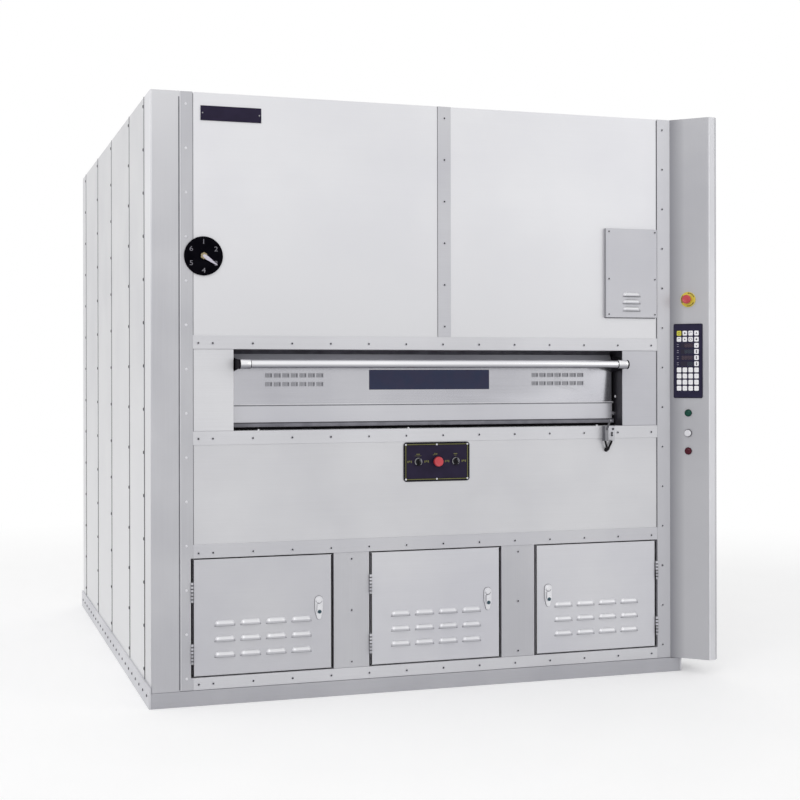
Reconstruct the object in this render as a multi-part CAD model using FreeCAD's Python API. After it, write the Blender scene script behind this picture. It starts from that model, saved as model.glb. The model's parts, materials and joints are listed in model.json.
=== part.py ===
import FreeCAD, Part
import math
import os

# Electric cradle oven: a closed housing on a plinth, with a wide loading mouth, three
# service doors below it and a control column at the right front corner.
# Every size is in millimetres. The origin is on the floor under the body's centre,
# +X is to the right of someone who faces the mouth, +Y to the back and +Z up.
# Widths are given from the body's left edge, and depths from its front plane.

V = FreeCAD.Vector

# Housing
body_width = 2104.0
body_depth = 2410.0
body_height = 2200.0
plinth_height = 55.0
plinth_reach = 8.0
skirt_height = 78.0
wall_thickness = 80.0
rail_thickness = 60.0
seam_gap = 3.0
front_thickness = 145.5
side_bays = (417.0, 594.0, 541.0, 548.0)
least_bay = 100.0
rear_bays = 4
roof_bays = 4
chamber_floor_top = 780.0
chamber_floor_thickness = 80.0

# Corner posts and the strips beside them
post_width = 106.0
post_proud = 5.0
post_round = 6.0
post_gap = 2.0
left_strip_width = 44.0
right_strip_width = 57.0
right_post_face = 39.0
cover_thickness = 3.0
band_height = 49.0
base_band_height = 44.0
band_gap = 1.0

# Loading mouth
mouth_left = 300.0
mouth_right_margin = 248.0
mouth_bottom = 983.0
mouth_height = 296.0
jamb_thickness = 12.0
jamb_lip = 4.0
threshold_height = 20.0
threshold_depth = 22.0
threshold_clearance = 12.0

# Batten between the upper panels
batten_offset = 57.0
batten_width = 52.0

# Service doors
service_opening_height = 428.0
service_post_width = 136.5
strip_notch = 8.5
service_end_margin = 1.0
service_gap = 7.5
service_end_gap = 5.0
tray_depth = 22.0
sheet = 2.0
hinge_length = 72.0
hinge_low = 50.0
hinge_top_drop = 85.0
knuckle_radius = 4.5
knuckle_sides = 12
knuckle_stand = 7.0
hinge_pin_radius = 2.5
hinge_leaf_depth = 26.0
hinge_plate = 2.0
hinge_split = 1.0
pin_clearance = 0.08

# Pressed louvres
louvre_length = 75.0
louvre_height = 19.0
louvre_depth = 9.0
louvre_end = 13.0
louvre_shoulder = (0.5, 0.66)
louvre_cheek = (0.86, 0.0)
louvre_end_turn = (0.3, 0.72)
louvre_margin = 77.5
louvre_least_gap = 15.0
louvre_row_pitch = 56.0
louvre_rows = 3
louvre_first_row = 75.5
vent_louvre_length = 76.0
vent_louvre_height = 16.0
vent_louvre_pitch = 28.4
vent_louvre_rise = 35.0

# Latches on the service doors
latch_width = 31.0
latch_height = 87.0
latch_thickness = 5.0
latch_edge = 50.0
latch_rise = 224.0
latch_pin_radius = 1.6
handle_width = 17.0
handle_thickness = 5.0
handle_length = 38.0
handle_barrel = 3.0
handle_barrel_sides = 8
handle_stand = 4.2
handle_pivot_drop = 14.0
ear_thickness = 3.0
ear_gap = 0.6
latch_button_radius = 8.0
latch_button_rise = 4.0
latch_button_sides = 16

# Main door
door_back_room = 35.5
door_thickness = 40.0
door_side_clearance = 10.0
door_arm_clearance = 13.0
door_bottom_clearance = 27.0
door_top_clearance = 16.0
door_rail_height = 61.0
door_rail_proud = 4.0
door_bevel_height = 22.0
door_bevel_depth = 15.0
pivot_rise = 20.0
pivot_inset = 10.0
pivot_radius = 8.0
pivot_clearance = 0.08
pivot_end_gap = 2.0
window_offset = -1.0
window_width = 485.0
window_rise = 120.0
window_height = 73.5
window_pocket = 4.0
window_proud = 1.0
vent_group_insets = (121.0, 124.5)
vent_blocks = 7
vent_block_pitch = 32.5
vent_block_width = 27.0
vent_block_height = 17.0
vent_block_rise = 4.0
vent_block_sheet = 1.2
vent_row_rises = (141.0, 173.5)

# Handle bar and its arms
bar_radius = 14.0
bar_drop = 39.0
bar_stand = 62.0
collar_radius = 17.0
collar_length = 40.0
arm_thickness = 5.0
arm_root_height = 58.0
arm_tip_radius = 17.5

# Plates, dial and vent cover
name_plate_left = 181.0
name_plate_width = 222.0
name_plate_drop = 47.0
name_plate_height = 53.0
plate_thickness = 4.0
dial_inset = 38.5
dial_rise = 284.5
dial_radius = 70.0
dial_thickness = 6.0
pointer_length = 59.0
pointer_width = 14.0
pointer_thickness = 2.5
pointer_gap = 1.5
pointer_angle = -33.0
hub_flats = 23.0
hub_length = 9.0
shaft_radius = 4.0
shaft_clearance = 0.06
vent_cover_inset = 7.0
vent_cover_width = 223.0
vent_cover_rise = 82.0
vent_cover_height = 349.0
vent_cover_depth = 15.0

# Control plate and its controls
control_offset = 25.0
control_width = 264.0
control_drop = 3.0
control_height = 148.0
control_round = 12.0
control_row_rise = 75.0
selector_offsets = (-75.0, 74.5)
bezel_radius = 15.0
bezel_length = 5.0
knob_radius = 11.5
knob_length = 9.0
knob_clearance = 0.08
knob_gap = 0.8
grip_width = 7.0
grip_front_width = 4.6
grip_length = 24.0
grip_rise = 8.0
stem_flats = 14.0
stem_clearance = 0.08
stop_head_radius = 20.0
stop_head_sides = 32
cap_sides = 24
stop_head_length = 14.0
stop_head_bevel = 4.5
stop_travel = 4.0
stop_stand = 9.0

# Console column
console_reach = 105.0
console_edge = 33.0
console_round = 8.0
console_foot_gap = 2.0
estop_height = 1482.0
estop_ring_radius = 30.0
estop_ring_length = 4.0
estop_stand = 22.0
estop_bore_depth = 24.0
estop_stem_depth = 8.0
keypad_width = 117.0
keypad_drop = 96.0
keypad_height = 295.0
keypad_thickness = 4.0
keypad_round = 6.0
green_lamp_drop = 59.0
button_drop = 80.0
red_lamp_drop = 71.0
lamp_radius = 14.5
lamp_length = 11.0
lamp_bevel = 3.5
button_cap_radius = 13.0
button_cap_rise = 9.0
button_cap_bevel = 1.5
button_travel = 3.0
button_ring_length = 5.0

# Limit switch beside the mouth
switch_inset = 89.0
switch_width = 14.0
switch_depth = 25.0
switch_height = 58.0
bracket_width = 52.0
bracket_thickness = 3.0
lever_pivot_drop = 12.0
lever_pin_radius = 2.0
lever_pin_clearance = 0.06
lever_width = 7.0
lever_end_sides = 8
lever_thickness = 3.0
lever_gap = 1.0
lever_reach = 13.0
lever_rise = 34.0
roller_radius = 4.0
roller_length = 4.0
lead_radius = 3.6
lead_inset = 14.0
lead_sides = 6
lead_drop = 15.0
lead_run = 14.0
lead_meet_offset = 17.0
lead_meet_drop = 40.0
gland_radius = 8.0
gland_length = 3.0

# Places worked out from the sizes above
left = -body_width / 2
front = -body_depth / 2
middle = body_width / 2
mouth_right = body_width - mouth_right_margin
mouth_top = mouth_bottom + mouth_height
upper_band_top = mouth_top + band_height
strip_left = post_width + post_gap
panel_left = strip_left + left_strip_width
post_right = body_width - right_post_face
panel_right = post_right - right_strip_width
batten_left = middle + batten_offset - batten_width / 2
base_band_bottom = plinth_height + band_gap
service_bottom = base_band_bottom + base_band_height
service_top = service_bottom + service_opening_height
service_left = panel_left - strip_notch
service_right = panel_right - service_end_margin
service_opening_width = (service_right - service_left - 2 * service_post_width) / 3
service_leaf_width = service_opening_width - 2 * service_gap
back_wall_front = body_depth - wall_thickness
first_seam = front_thickness + seam_gap / 2
side_seams = [first_seam + sum(side_bays[:i]) for i in range(len(side_bays) + 1)]
bay_ends = [seam for seam in side_seams if seam < body_depth - least_bay] + [body_depth]
door_left = mouth_left + door_side_clearance
door_right = mouth_right - door_arm_clearance
door_bottom = mouth_bottom + door_bottom_clearance
door_top = mouth_top - door_top_clearance
door_set_back = front_thickness - door_back_room - door_thickness
window_left = (door_left + door_right - window_width) / 2 + window_offset
window_bottom = door_bottom + window_rise
vent_group_width = (vent_blocks - 1) * vent_block_pitch + vent_block_width
vent_group_lefts = (door_left + vent_group_insets[0], door_right - vent_group_insets[1] - vent_group_width)
bar_height = door_top - bar_drop
pivot_depth = door_set_back + pivot_inset
pivot_height = door_bottom + pivot_rise
console_start = post_right
console_tip = console_start + console_reach
console_right = console_tip + console_edge
console_nose = cover_thickness + console_reach
keypad_bottom = estop_height - keypad_drop - keypad_height
green_lamp_height = keypad_bottom - green_lamp_drop
button_height = green_lamp_height - button_drop
red_lamp_height = button_height - red_lamp_drop
name_plate_bottom = body_height - name_plate_drop - name_plate_height
dial_centre = panel_left + dial_inset
dial_height = upper_band_top + dial_rise
vent_cover_left = panel_right - vent_cover_inset - vent_cover_width
vent_cover_bottom = upper_band_top + vent_cover_rise
control_middle = middle + control_offset
control_bottom = mouth_bottom - band_height - control_drop - control_height
control_row = control_bottom + control_row_rise
selector_places = [control_middle + offset for offset in selector_offsets]
switch_left = mouth_right - switch_inset
switch_bottom = mouth_bottom - switch_height
lead_meet_left = switch_left + lead_meet_offset


# A box between two widths, two depths and two heights
def block(s0, s1, q0, q1, z0, z1):
    return Part.makeBox(s1 - s0, q1 - q0, z1 - z0, V(left + s0, front + q0, z0))


# A closed outline of points, pushed along a direction
def pushed(points, way):
    return Part.Face(Part.makePolygon(points + points[:1])).extrude(way)


# An outline in plan, between two heights
def plan_prism(points, z0, z1):
    return pushed([V(left + s, front + q, z0) for s, q in points], V(0, 0, z1 - z0))


# An outline seen from the side, between two widths
def side_prism(points, s0, s1):
    return pushed([V(left + s0, front + q, z) for q, z in points], V(s1 - s0, 0, 0))


# A round bar along one of the axes, starting at a width, depth and height
def rod(radius, length, s, q, z, way):
    return Part.makeCylinder(radius, length, V(left + s, front + q, z), way)


# Corners of a regular outline about the origin, by its width across flats
def flat_corners(sides, flats):
    corner = flats / 2 / math.cos(math.pi / sides)
    turns = [math.pi * (2 * i + 1) / sides for i in range(sides)]
    return [V(corner * math.cos(turn), corner * math.sin(turn), 0) for turn in turns]


# A bar with flat sides, from a place along a direction
def flat_bar(sides, flats, length, place, way):
    bar = pushed(flat_corners(sides, flats), V(0, 0, length))
    bar.Placement = FreeCAD.Placement(place, FreeCAD.Rotation(V(0, 0, 1), way))
    return bar


# A small moulded cap along -Y, many-sided instead of round, with a bevelled front rim
def moulded_cap(sides, radius, start, length, bevel):
    cap = flat_bar(sides, 2 * radius, length, V(0, -start, 0), V(0, -1, 0))
    rim = [edge for edge in cap.Edges if edge.BoundBox.YMax < -start - length / 2]
    return cap.makeChamfer(bevel, rim)


# Upright edges of a shape that lie near a width and depth
def upright_edges(shape, s, q):
    found = []
    for edge in shape.Edges:
        ends = [v.Point for v in edge.Vertexes]
        if len(ends) == 2 and abs(ends[0].z - ends[1].z) > 1.0:
            here = ends[0]
            if abs(here.x - left - s) < 0.01 and abs(here.y - front - q) < 0.01:
                found.append(edge)
    return found


# A plate with rounded corners in its own plane, face at y = 0, back at y = thickness
def rounded_plate(width, height, thickness, radius):
    plate = Part.makeBox(width, thickness, height, V(-width / 2, 0, -height / 2))
    corners = [e for e in plate.Edges if abs(e.Vertexes[0].Y - e.Vertexes[1].Y) > thickness / 2]
    return plate.makeFillet(radius, corners)


# Solids that don't touch, kept together as one node
def together(solids):
    return Part.makeCompound(solids)


def moved(shape, s, q, z):
    copy = shape.copy()
    copy.translate(V(left + s, front + q, z))
    return copy


# Turns a piece made for a face that looks forward onto the slanted console face
def on_console(shape, z):
    copy = shape.copy()
    copy.rotate(V(0, 0, 0), V(0, 0, 1), -45)
    middle = console_reach / 2
    copy.translate(V(left + console_start + middle, front - cover_thickness - middle, z))
    return copy


# Base: a slab under the body, with skirt strips along its sides and rear
def base_plinth():
    return block(0, body_width, -plinth_reach, body_depth, 0, plinth_height)


# The right strip is low at its front, where the console column stands over it
def side_skirts():
    reach = plinth_reach
    end = body_depth + reach
    left_strip = block(-reach, 0, -reach, end, 0, skirt_height)
    step = first_seam + seam_gap
    points = [(-reach, 0), (end, 0), (end, skirt_height), (step, skirt_height),
              (step, plinth_height), (-reach, plinth_height)]
    right_strip = side_prism(points, body_width, body_width + reach)
    rear_strip = block(seam_gap, body_width - seam_gap, body_depth, body_depth + reach, 0, skirt_height)
    return together([left_strip, right_strip, rear_strip])


# Insulated wall panels, one to each bay between two riveted seams
def wall_bays(s0, s1):
    panels = []
    for start, end in zip(bay_ends, bay_ends[1:]):
        panels.append(block(s0, s1, start + seam_gap / 2, end - seam_gap / 2 * (end < body_depth),
                            plinth_height, body_height))
    return together(panels)


def rear_wall_panels():
    span = body_width - 2 * wall_thickness
    bay = span / rear_bays
    panels = []
    for i in range(rear_bays):
        start = wall_thickness + i * bay
        panels.append(block(start + seam_gap / 2, start + bay - seam_gap / 2,
                            back_wall_front, body_depth, plinth_height, body_height))
    return together(panels)


def roof_panels():
    span = back_wall_front - front_thickness
    bay = span / roof_bays
    panels = []
    for i in range(roof_bays):
        start = front_thickness + i * bay
        panels.append(block(wall_thickness, body_width - wall_thickness,
                            start + seam_gap / 2, start + bay - seam_gap / 2,
                            body_height - wall_thickness, body_height))
    return together(panels)


def chamber_floor():
    return block(wall_thickness, body_width - wall_thickness, front_thickness, back_wall_front,
                 chamber_floor_top - chamber_floor_thickness, chamber_floor_top)


# Corner posts with a rounded front edge
def left_corner_post():
    post = block(0, post_width, -post_proud, front_thickness, plinth_height, body_height)
    return post.makeFillet(post_round, upright_edges(post, 0, -post_proud))


def right_corner_post():
    return block(post_right, body_width, 0, front_thickness, plinth_height, body_height)


# Front panels; the covers over their joints are separate strips
def upper_panel(s0, s1):
    return block(s0, s1, 0, front_thickness, mouth_top, body_height)


# Side panels of the mouth, with a thin folded lip in front of each jamb
def mouth_side_panels():
    lip = jamb_lip
    inner = mouth_left - jamb_thickness
    points = [(strip_left, 0), (mouth_left, 0), (mouth_left, lip), (inner, lip),
              (inner, front_thickness), (strip_left, front_thickness)]
    left_panel = plan_prism(points, mouth_bottom, mouth_top)
    inner = mouth_right + jamb_thickness
    points = [(post_right, 0), (mouth_right, 0), (mouth_right, lip), (inner, lip),
              (inner, front_thickness), (post_right, front_thickness)]
    right_panel = plan_prism(points, mouth_bottom, mouth_top)
    return together([left_panel, right_panel])


# Jamb plates, each with the hole that holds the door's pivot
def mouth_jambs():
    plates = []
    for edge in (mouth_left - jamb_thickness, mouth_right):
        plate = block(edge, edge + jamb_thickness, jamb_lip, front_thickness, mouth_bottom, mouth_top)
        hole = rod(pivot_radius + pivot_clearance, jamb_thickness, edge, pivot_depth, pivot_height,
                   V(1, 0, 0))
        plates.append(plate.cut(hole))
    return together(plates)


# Low angle behind the foot of the door
def mouth_threshold():
    start = front_thickness - door_back_room + threshold_clearance
    end = start + threshold_depth
    low, high = mouth_bottom, mouth_bottom + threshold_height
    points = [(start, low), (end, low), (end, low + sheet), (start + sheet, low + sheet),
              (start + sheet, high), (start, high)]
    return side_prism(points, mouth_left, mouth_right)


def middle_front_panel():
    return block(strip_left, post_right, 0, front_thickness, service_top, mouth_bottom)


# Posts between and beside the service doors
def service_openings():
    step = service_opening_width + service_post_width
    return [service_left + i * step for i in range(3)]


def service_posts():
    edges = [strip_left]
    for start in service_openings():
        edges += [start, start + service_opening_width]
    edges.append(post_right)
    pairs = zip(edges[0::2], edges[1::2])
    return together([block(a, b, 0, rail_thickness, service_bottom, service_top) for a, b in pairs])


def base_rail():
    return block(strip_left, post_right, 0, rail_thickness, plinth_height, service_bottom)


# Riveted cover strips, upright and across; the left one is notched beside its service door
def upright_strips():
    low = base_band_bottom
    left_strip = block(strip_left, panel_left, -cover_thickness, 0, low, body_height)
    notch = block(service_left, panel_left, -cover_thickness, 0, service_bottom, service_top)
    left_strip = left_strip.cut(notch)
    right_strip = block(panel_right, post_right, -cover_thickness, 0, low, body_height)
    return together([left_strip, right_strip])


def centre_batten():
    return block(batten_left, batten_left + batten_width, -cover_thickness, 0,
                 upper_band_top, body_height)


def cross_bands():
    spans = [(base_band_bottom, service_bottom)]
    spans += [(z, z + band_height) for z in (service_top, mouth_bottom - band_height, mouth_top)]
    return together([block(panel_left, panel_right, -cover_thickness, 0, low, high) for low, high in spans])


# Solid form of one louvre: its side profile met by its plan, both bent outlines.
# It is centred on x = 0 and z = 0, with the sheet's face at y = 0.
def louvre_form(length, height, depth, end):
    half = height / 2
    bends = [(0, 1), louvre_shoulder, louvre_cheek, (1, -1), (0, -1)]
    profile = [V(-length / 2, -depth * out, half * up) for out, up in bends]
    turn_along, turn_out = louvre_end_turn
    near = [V(-length / 2 + end * along, -depth * out, -half)
            for along, out in ((0, 0), (turn_along, turn_out), (1, 1))]
    far = [V(-point.x, point.y, point.z) for point in reversed(near)]
    return pushed(profile, V(length, 0, 0)).common(pushed(near + far, V(0, 0, height)))


# Hood and cutter of one pressed louvre in a sheet of a given thickness
def louvre_pieces(length, height, skin):
    hood = louvre_form(length, height, louvre_depth, louvre_end)
    hollow = louvre_form(length - 2 * skin, height, louvre_depth - skin, louvre_end - skin / 2)
    hollow.translate(V(0, 0, -skin))
    slot_length = length - 2 * louvre_end * 0.4 - 2 * skin
    slot = Part.makeBox(slot_length, skin, height - 2 * skin, V(-slot_length / 2, 0, -height / 2))
    return hood, hollow.fuse(slot)


def with_louvres(plate, length, height, skin, places):
    hood, cutter = louvre_pieces(length, height, skin)
    hoods, cutters = [], []
    for place in places:
        for piece, group in ((hood, hoods), (cutter, cutters)):
            copy = piece.copy()
            copy.translate(place)
            group.append(copy)
    return plate.fuse(hoods).cut(cutters).removeSplitter()


# Service door leaf: a folded tray with pressed louvres and the moving hinge knuckles.
# It is made in place, hinged at its left, and mirrored where the hinges are at the right.
def hinge_heights():
    return [service_bottom + hinge_low, service_top - hinge_top_drop - hinge_length]


def knuckle(axis_s, z, length, plate_s):
    place = V(left + axis_s, front - knuckle_stand, z)
    barrel = flat_bar(knuckle_sides, 2 * knuckle_radius, length, place, V(0, 0, 1))
    plate = block(plate_s, plate_s + hinge_plate, -knuckle_stand, hinge_leaf_depth - knuckle_stand,
                  z, z + length)
    return barrel.fuse(plate)


def service_door(start):
    s0, s1 = start + service_gap, start + service_opening_width - service_gap
    z0, z1 = service_bottom + service_end_gap, service_top - service_end_gap
    tray = block(s0, s1, 0, tray_depth, z0, z1)
    tray = tray.cut(block(s0 + sheet, s1 - sheet, sheet, tray_depth, z0 + sheet, z1 - sheet))
    field = service_leaf_width - 2 * louvre_margin
    columns = int((field + louvre_least_gap) / (louvre_length + louvre_least_gap))
    pitch = (field - louvre_length) / (columns - 1)
    places = []
    for column in range(columns):
        for row in range(louvre_rows):
            s = s0 + louvre_margin + louvre_length / 2 + column * pitch
            places.append(V(left + s, front, z0 + louvre_first_row + row * louvre_row_pitch))
    leaf = with_louvres(tray, louvre_length, louvre_height, sheet, places)
    axis_s = start + service_gap / 2
    half = (hinge_length - hinge_split) / 2
    for z in hinge_heights():
        moving = knuckle(axis_s, z + half + hinge_split, half, s0 - hinge_plate)
        bore = rod(hinge_pin_radius + pin_clearance, half, axis_s, -knuckle_stand,
                   z + half + hinge_split, V(0, 0, 1))
        leaf = leaf.fuse(moving.cut(bore))
    return leaf.removeSplitter()


# Fixed knuckles with their pins, for one door
def fixed_knuckles(start):
    axis_s = start + service_gap / 2
    half = (hinge_length - hinge_split) / 2
    solids = []
    for z in hinge_heights():
        pin = rod(hinge_pin_radius, hinge_length, axis_s, -knuckle_stand, z, V(0, 0, 1))
        solids.append(knuckle(axis_s, z, half, start).fuse(pin))
    return solids


# Mirror image about the middle of a service opening
def flipped(shape, start):
    middle = V(left + start + service_opening_width / 2, 0, 0)
    return shape.mirror(middle, V(1, 0, 0))


def latch_place(start, hinged_right):
    free = service_gap + latch_edge
    return start + (free if hinged_right else service_opening_width - free)


# Latch case: a capsule plate with a round button and two ears that hold the handle's pin
def latch_case():
    straight = (latch_height - latch_width) / 2
    plate = rounded_plate(latch_width, latch_height, latch_thickness, latch_width / 2 - 0.01)
    plate.translate(V(0, -latch_thickness, 0))
    button = flat_bar(latch_button_sides, 2 * latch_button_radius, latch_button_rise,
                      V(0, -latch_thickness, straight), V(0, -1, 0))
    pin_y = -latch_thickness - handle_stand
    inner = handle_width / 2 + ear_gap
    ear_reach = handle_stand + handle_barrel
    ears = [Part.makeBox(ear_thickness, ear_reach, 2 * handle_barrel,
                         V(low, -latch_thickness - ear_reach, -handle_pivot_drop - handle_barrel))
            for low in (-inner - ear_thickness, inner)]
    pin = Part.makeCylinder(latch_pin_radius, 2 * inner, V(-inner, pin_y, -handle_pivot_drop), V(1, 0, 0))
    return plate.fuse([button, pin] + ears).removeSplitter()


# Latch handle: a tapered lever on a flat-sided barrel, which swings out about the pin
def latch_handle():
    pin_y = -latch_thickness - handle_stand
    end = V(-handle_width / 2, pin_y, -handle_pivot_drop)
    barrel = flat_bar(handle_barrel_sides, 2 * handle_barrel, handle_width, end, V(1, 0, 0))
    low, high = -handle_pivot_drop, handle_length - handle_pivot_drop - latch_button_radius
    half, tip = handle_width / 2, handle_width / 2 - 2.0
    back = pin_y + handle_barrel / 2
    points = [V(-half, back, low), V(half, back, low), V(tip, back, high), V(-tip, back, high)]
    lever = pushed(points, V(0, -handle_thickness, 0))
    bore = Part.makeCylinder(latch_pin_radius + shaft_clearance, handle_width, end, V(1, 0, 0))
    return barrel.fuse(lever).cut(bore)


# Main door: one folded section from end to end, with a proud rail at its foot and a
# slope at its top, a pocket for the window and rows of small side-opening vents
def main_door_leaf():
    face, back = door_set_back, door_set_back + door_thickness
    rail_top = door_bottom + door_rail_height
    slope = door_top - door_bevel_height
    points = [(face - door_rail_proud, door_bottom), (face - door_rail_proud, rail_top), (face, rail_top),
              (face, slope), (face + door_bevel_depth, door_top), (back, door_top), (back, door_bottom)]
    leaf = side_prism(points, door_left, door_right)
    pocket = block(window_left, window_left + window_width, face, face + window_pocket,
                   window_bottom, window_bottom + window_height)
    leaf = leaf.cut(pocket)
    leaf = leaf.fuse(door_vents())
    reach = door_left - (mouth_left - jamb_thickness) - pivot_end_gap
    for s, way in ((door_left, -1), (door_right, 1)):
        leaf = leaf.fuse(rod(pivot_radius, reach, s, pivot_depth, pivot_height, V(way, 0, 0)))
    return leaf.removeSplitter()


# One vent block is a ramp that rises to the right, hollow under its open right edge
def vent_block():
    w, h, rise, skin = vent_block_width, vent_block_height, vent_block_rise, vent_block_sheet
    ramp = pushed([V(0, 0, 0), V(w, 0, 0), V(w, -rise, 0)], V(0, 0, h))
    run = (rise - skin) * w / rise
    hollow = pushed([V(w - run + skin, 0, skin), V(w, 0, skin), V(w, -rise + skin + 0.4, skin)],
                    V(0, 0, h - 2 * skin))
    return ramp.cut(hollow)


def door_vents():
    solids = []
    for start in vent_group_lefts:
        for rise in vent_row_rises:
            for i in range(vent_blocks):
                low = door_bottom + rise - vent_block_height / 2
                solids.append(moved(vent_block(), start + i * vent_block_pitch, door_set_back, low))
    return solids


def main_door_window():
    low = door_set_back + window_pocket
    return block(window_left, window_left + window_width, door_set_back - window_proud, low,
                 window_bottom, window_bottom + window_height)


# Arms: tapered plates on the ends of the door, with a round eye at the bar
def door_arm(s):
    root, tip = door_set_back + door_thickness, -bar_stand
    high, low = bar_height + arm_root_height / 2, bar_height - arm_root_height / 2
    points = [(root, low), (root, high), (door_set_back, high), (tip, bar_height + arm_tip_radius * 0.8),
              (tip, bar_height - arm_tip_radius * 0.8), (door_set_back, low)]
    plate = side_prism(points, s, s + arm_thickness)
    eye = rod(arm_tip_radius, arm_thickness, s, -bar_stand, bar_height, V(1, 0, 0))
    return plate.fuse(eye).removeSplitter()


def door_arms():
    return together([door_arm(door_left - arm_thickness), door_arm(door_right)])


def handle_bar():
    bar = rod(bar_radius, door_right - door_left, door_left, -bar_stand, bar_height, V(1, 0, 0))
    for s in (door_left, door_right - collar_length):
        bar = bar.fuse(rod(collar_radius, collar_length, s, -bar_stand, bar_height, V(1, 0, 0)))
    return bar.removeSplitter()


# Vent cover: a shallow folded tray with three pressed louvres
def vent_cover():
    s0, s1 = vent_cover_left, vent_cover_left + vent_cover_width
    z0, z1 = vent_cover_bottom, vent_cover_bottom + vent_cover_height
    plate = block(s0, s1, -vent_cover_depth, 0, z0, z1)
    plate = plate.cut(block(s0 + sheet, s1 - sheet, sheet - vent_cover_depth, 0, z0 + sheet, z1 - sheet))
    centre = left + (s0 + s1) / 2
    places = [V(centre, front - vent_cover_depth, z0 + vent_louvre_rise + i * vent_louvre_pitch)
              for i in range(3)]
    return with_louvres(plate, vent_louvre_length, vent_louvre_height, sheet, places)


def name_plate():
    return block(name_plate_left, name_plate_left + name_plate_width, -plate_thickness, 0,
                 name_plate_bottom, name_plate_bottom + name_plate_height)


# Dial: a disc seated on the edge of the strip, bored for the pointer's shaft
def dial_face():
    face = rod(dial_radius, dial_thickness, dial_centre, -cover_thickness, dial_height, V(0, -1, 0))
    bore = rod(shaft_radius + shaft_clearance, dial_thickness, dial_centre, -cover_thickness,
               dial_height, V(0, -1, 0))
    return face.cut(bore)


# Pointer with its hexagon hub; it is drawn to the right, then turned to its rest angle
def dial_pointer():
    stand = cover_thickness + dial_thickness + pointer_gap
    half = pointer_width / 2
    points = [V(-half, 0, -half), V(-half, 0, half), V(0, 0, half), V(pointer_length * 0.97, 0, half * 0.28),
              V(pointer_length, 0, 0), V(pointer_length * 0.97, 0, -half * 0.28), V(0, 0, -half)]
    arm = pushed(points, V(0, -pointer_thickness, 0))
    hub = flat_bar(6, hub_flats, hub_length, V(0, 0, 0), V(0, -1, 0))
    shaft_length = pointer_gap + dial_thickness / 2
    shaft = Part.makeCylinder(shaft_radius, shaft_length, V(0, shaft_length, 0), V(0, -1, 0))
    pointer = arm.fuse([hub, shaft])
    pointer.rotate(V(0, 0, 0), V(0, -1, 0), pointer_angle)
    return moved(pointer, dial_centre, -stand, dial_height)


# A six-sided stem along -Y, or the hole it slides in when a clearance is given
def stem(start, length, clearance=0.0):
    return flat_bar(6, stem_flats + 2 * clearance, length, V(0, -start, 0), V(0, -1, 0))


# Control plate, cut through for the stem of the stop button
def control_plate():
    plate = rounded_plate(control_width, control_height, plate_thickness, control_round)
    plate = moved(plate, control_middle, -plate_thickness, control_bottom + control_height / 2)
    return plate.cut(moved(stem(0, plate_thickness, stem_clearance), control_middle, 0, control_row))


# Ring in front of a face at y = 0, around the hole for what slides or turns in it
def bezel(radius, length, hole):
    return Part.makeCylinder(radius, length, V(0, 0, 0), V(0, -1, 0)).cut(hole)


def button_bezels():
    forward = V(0, -1, 0)
    knob_hole = Part.makeCylinder(knob_radius + knob_clearance, bezel_length, V(0, 0, 0), forward)
    rings = [moved(bezel(bezel_radius, bezel_length, knob_hole), place, -plate_thickness, control_row)
             for place in selector_places]
    stem_hole = stem(0, bezel_length, stem_clearance)
    collar = bezel(bezel_radius, bezel_length, stem_hole)
    rings.append(moved(collar, control_middle, -plate_thickness, control_row))
    rings.append(on_console(bezel(estop_ring_radius, estop_ring_length, stem_hole), estop_height))
    cap_flats = 2 * (button_cap_radius + knob_clearance)
    cap_hole = flat_bar(cap_sides, cap_flats, button_ring_length, V(0, 0, 0), forward)
    rings.append(on_console(bezel(lamp_radius, button_ring_length, cap_hole), button_height))
    return together(rings)


# Selector knob: a round body in its ring, with a tapered grip bar across it, upright at rest
def selector_knob():
    start = plate_thickness + knob_gap
    face = plate_thickness + bezel_length + knob_length
    body = Part.makeCylinder(knob_radius, face - start, V(0, -start, 0), V(0, -1, 0))
    low = -grip_length / 2
    points = [V(-grip_width / 2, -face, low), V(-grip_front_width / 2, -face - grip_rise, low),
              V(grip_front_width / 2, -face - grip_rise, low), V(grip_width / 2, -face, low)]
    return body.fuse(pushed(points, V(0, 0, grip_length))).removeSplitter()


# Mushroom head on its stem; the face it is fixed to is at y = 0, and the stem's inner end
# is at a depth behind it
def mushroom(stand, depth):
    head = moulded_cap(stop_head_sides, stop_head_radius, stand, stop_head_length, stop_head_bevel)
    return head.fuse(stem(-depth, stand + depth)).removeSplitter()


def stop_button():
    stand = plate_thickness + bezel_length + stop_stand
    return moved(mushroom(stand, -stop_travel - knob_gap), control_middle, 0, control_row)


# Console column: five-sided in plan, with rounded front corners, bored for the stop's stem
def console_column():
    points = [(console_start, -cover_thickness), (console_tip, -console_nose),
              (console_right, -console_nose), (console_right, first_seam), (body_width, first_seam),
              (body_width, 0), (console_start, 0)]
    column = plan_prism(points, plinth_height + console_foot_gap, body_height)
    for s in (console_tip, console_right):
        column = column.makeFillet(console_round, upright_edges(column, s, -console_nose))
    hole = stem(-estop_bore_depth, estop_bore_depth, stem_clearance)
    return column.cut(on_console(hole, estop_height))


def keypad_panel():
    plate = rounded_plate(keypad_width, keypad_height, keypad_thickness, keypad_round)
    plate.translate(V(0, -keypad_thickness, 0))
    return on_console(plate, keypad_bottom + keypad_height / 2)


# Pilot lamps: short barrels with a crowned lens
def pilot_lamps():
    lamp = moulded_cap(cap_sides, lamp_radius, 0, lamp_length, lamp_bevel)
    return together([on_console(lamp, height) for height in (green_lamp_height, red_lamp_height)])


def estop_head():
    return on_console(mushroom(estop_stand, estop_stem_depth), estop_height)


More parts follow.
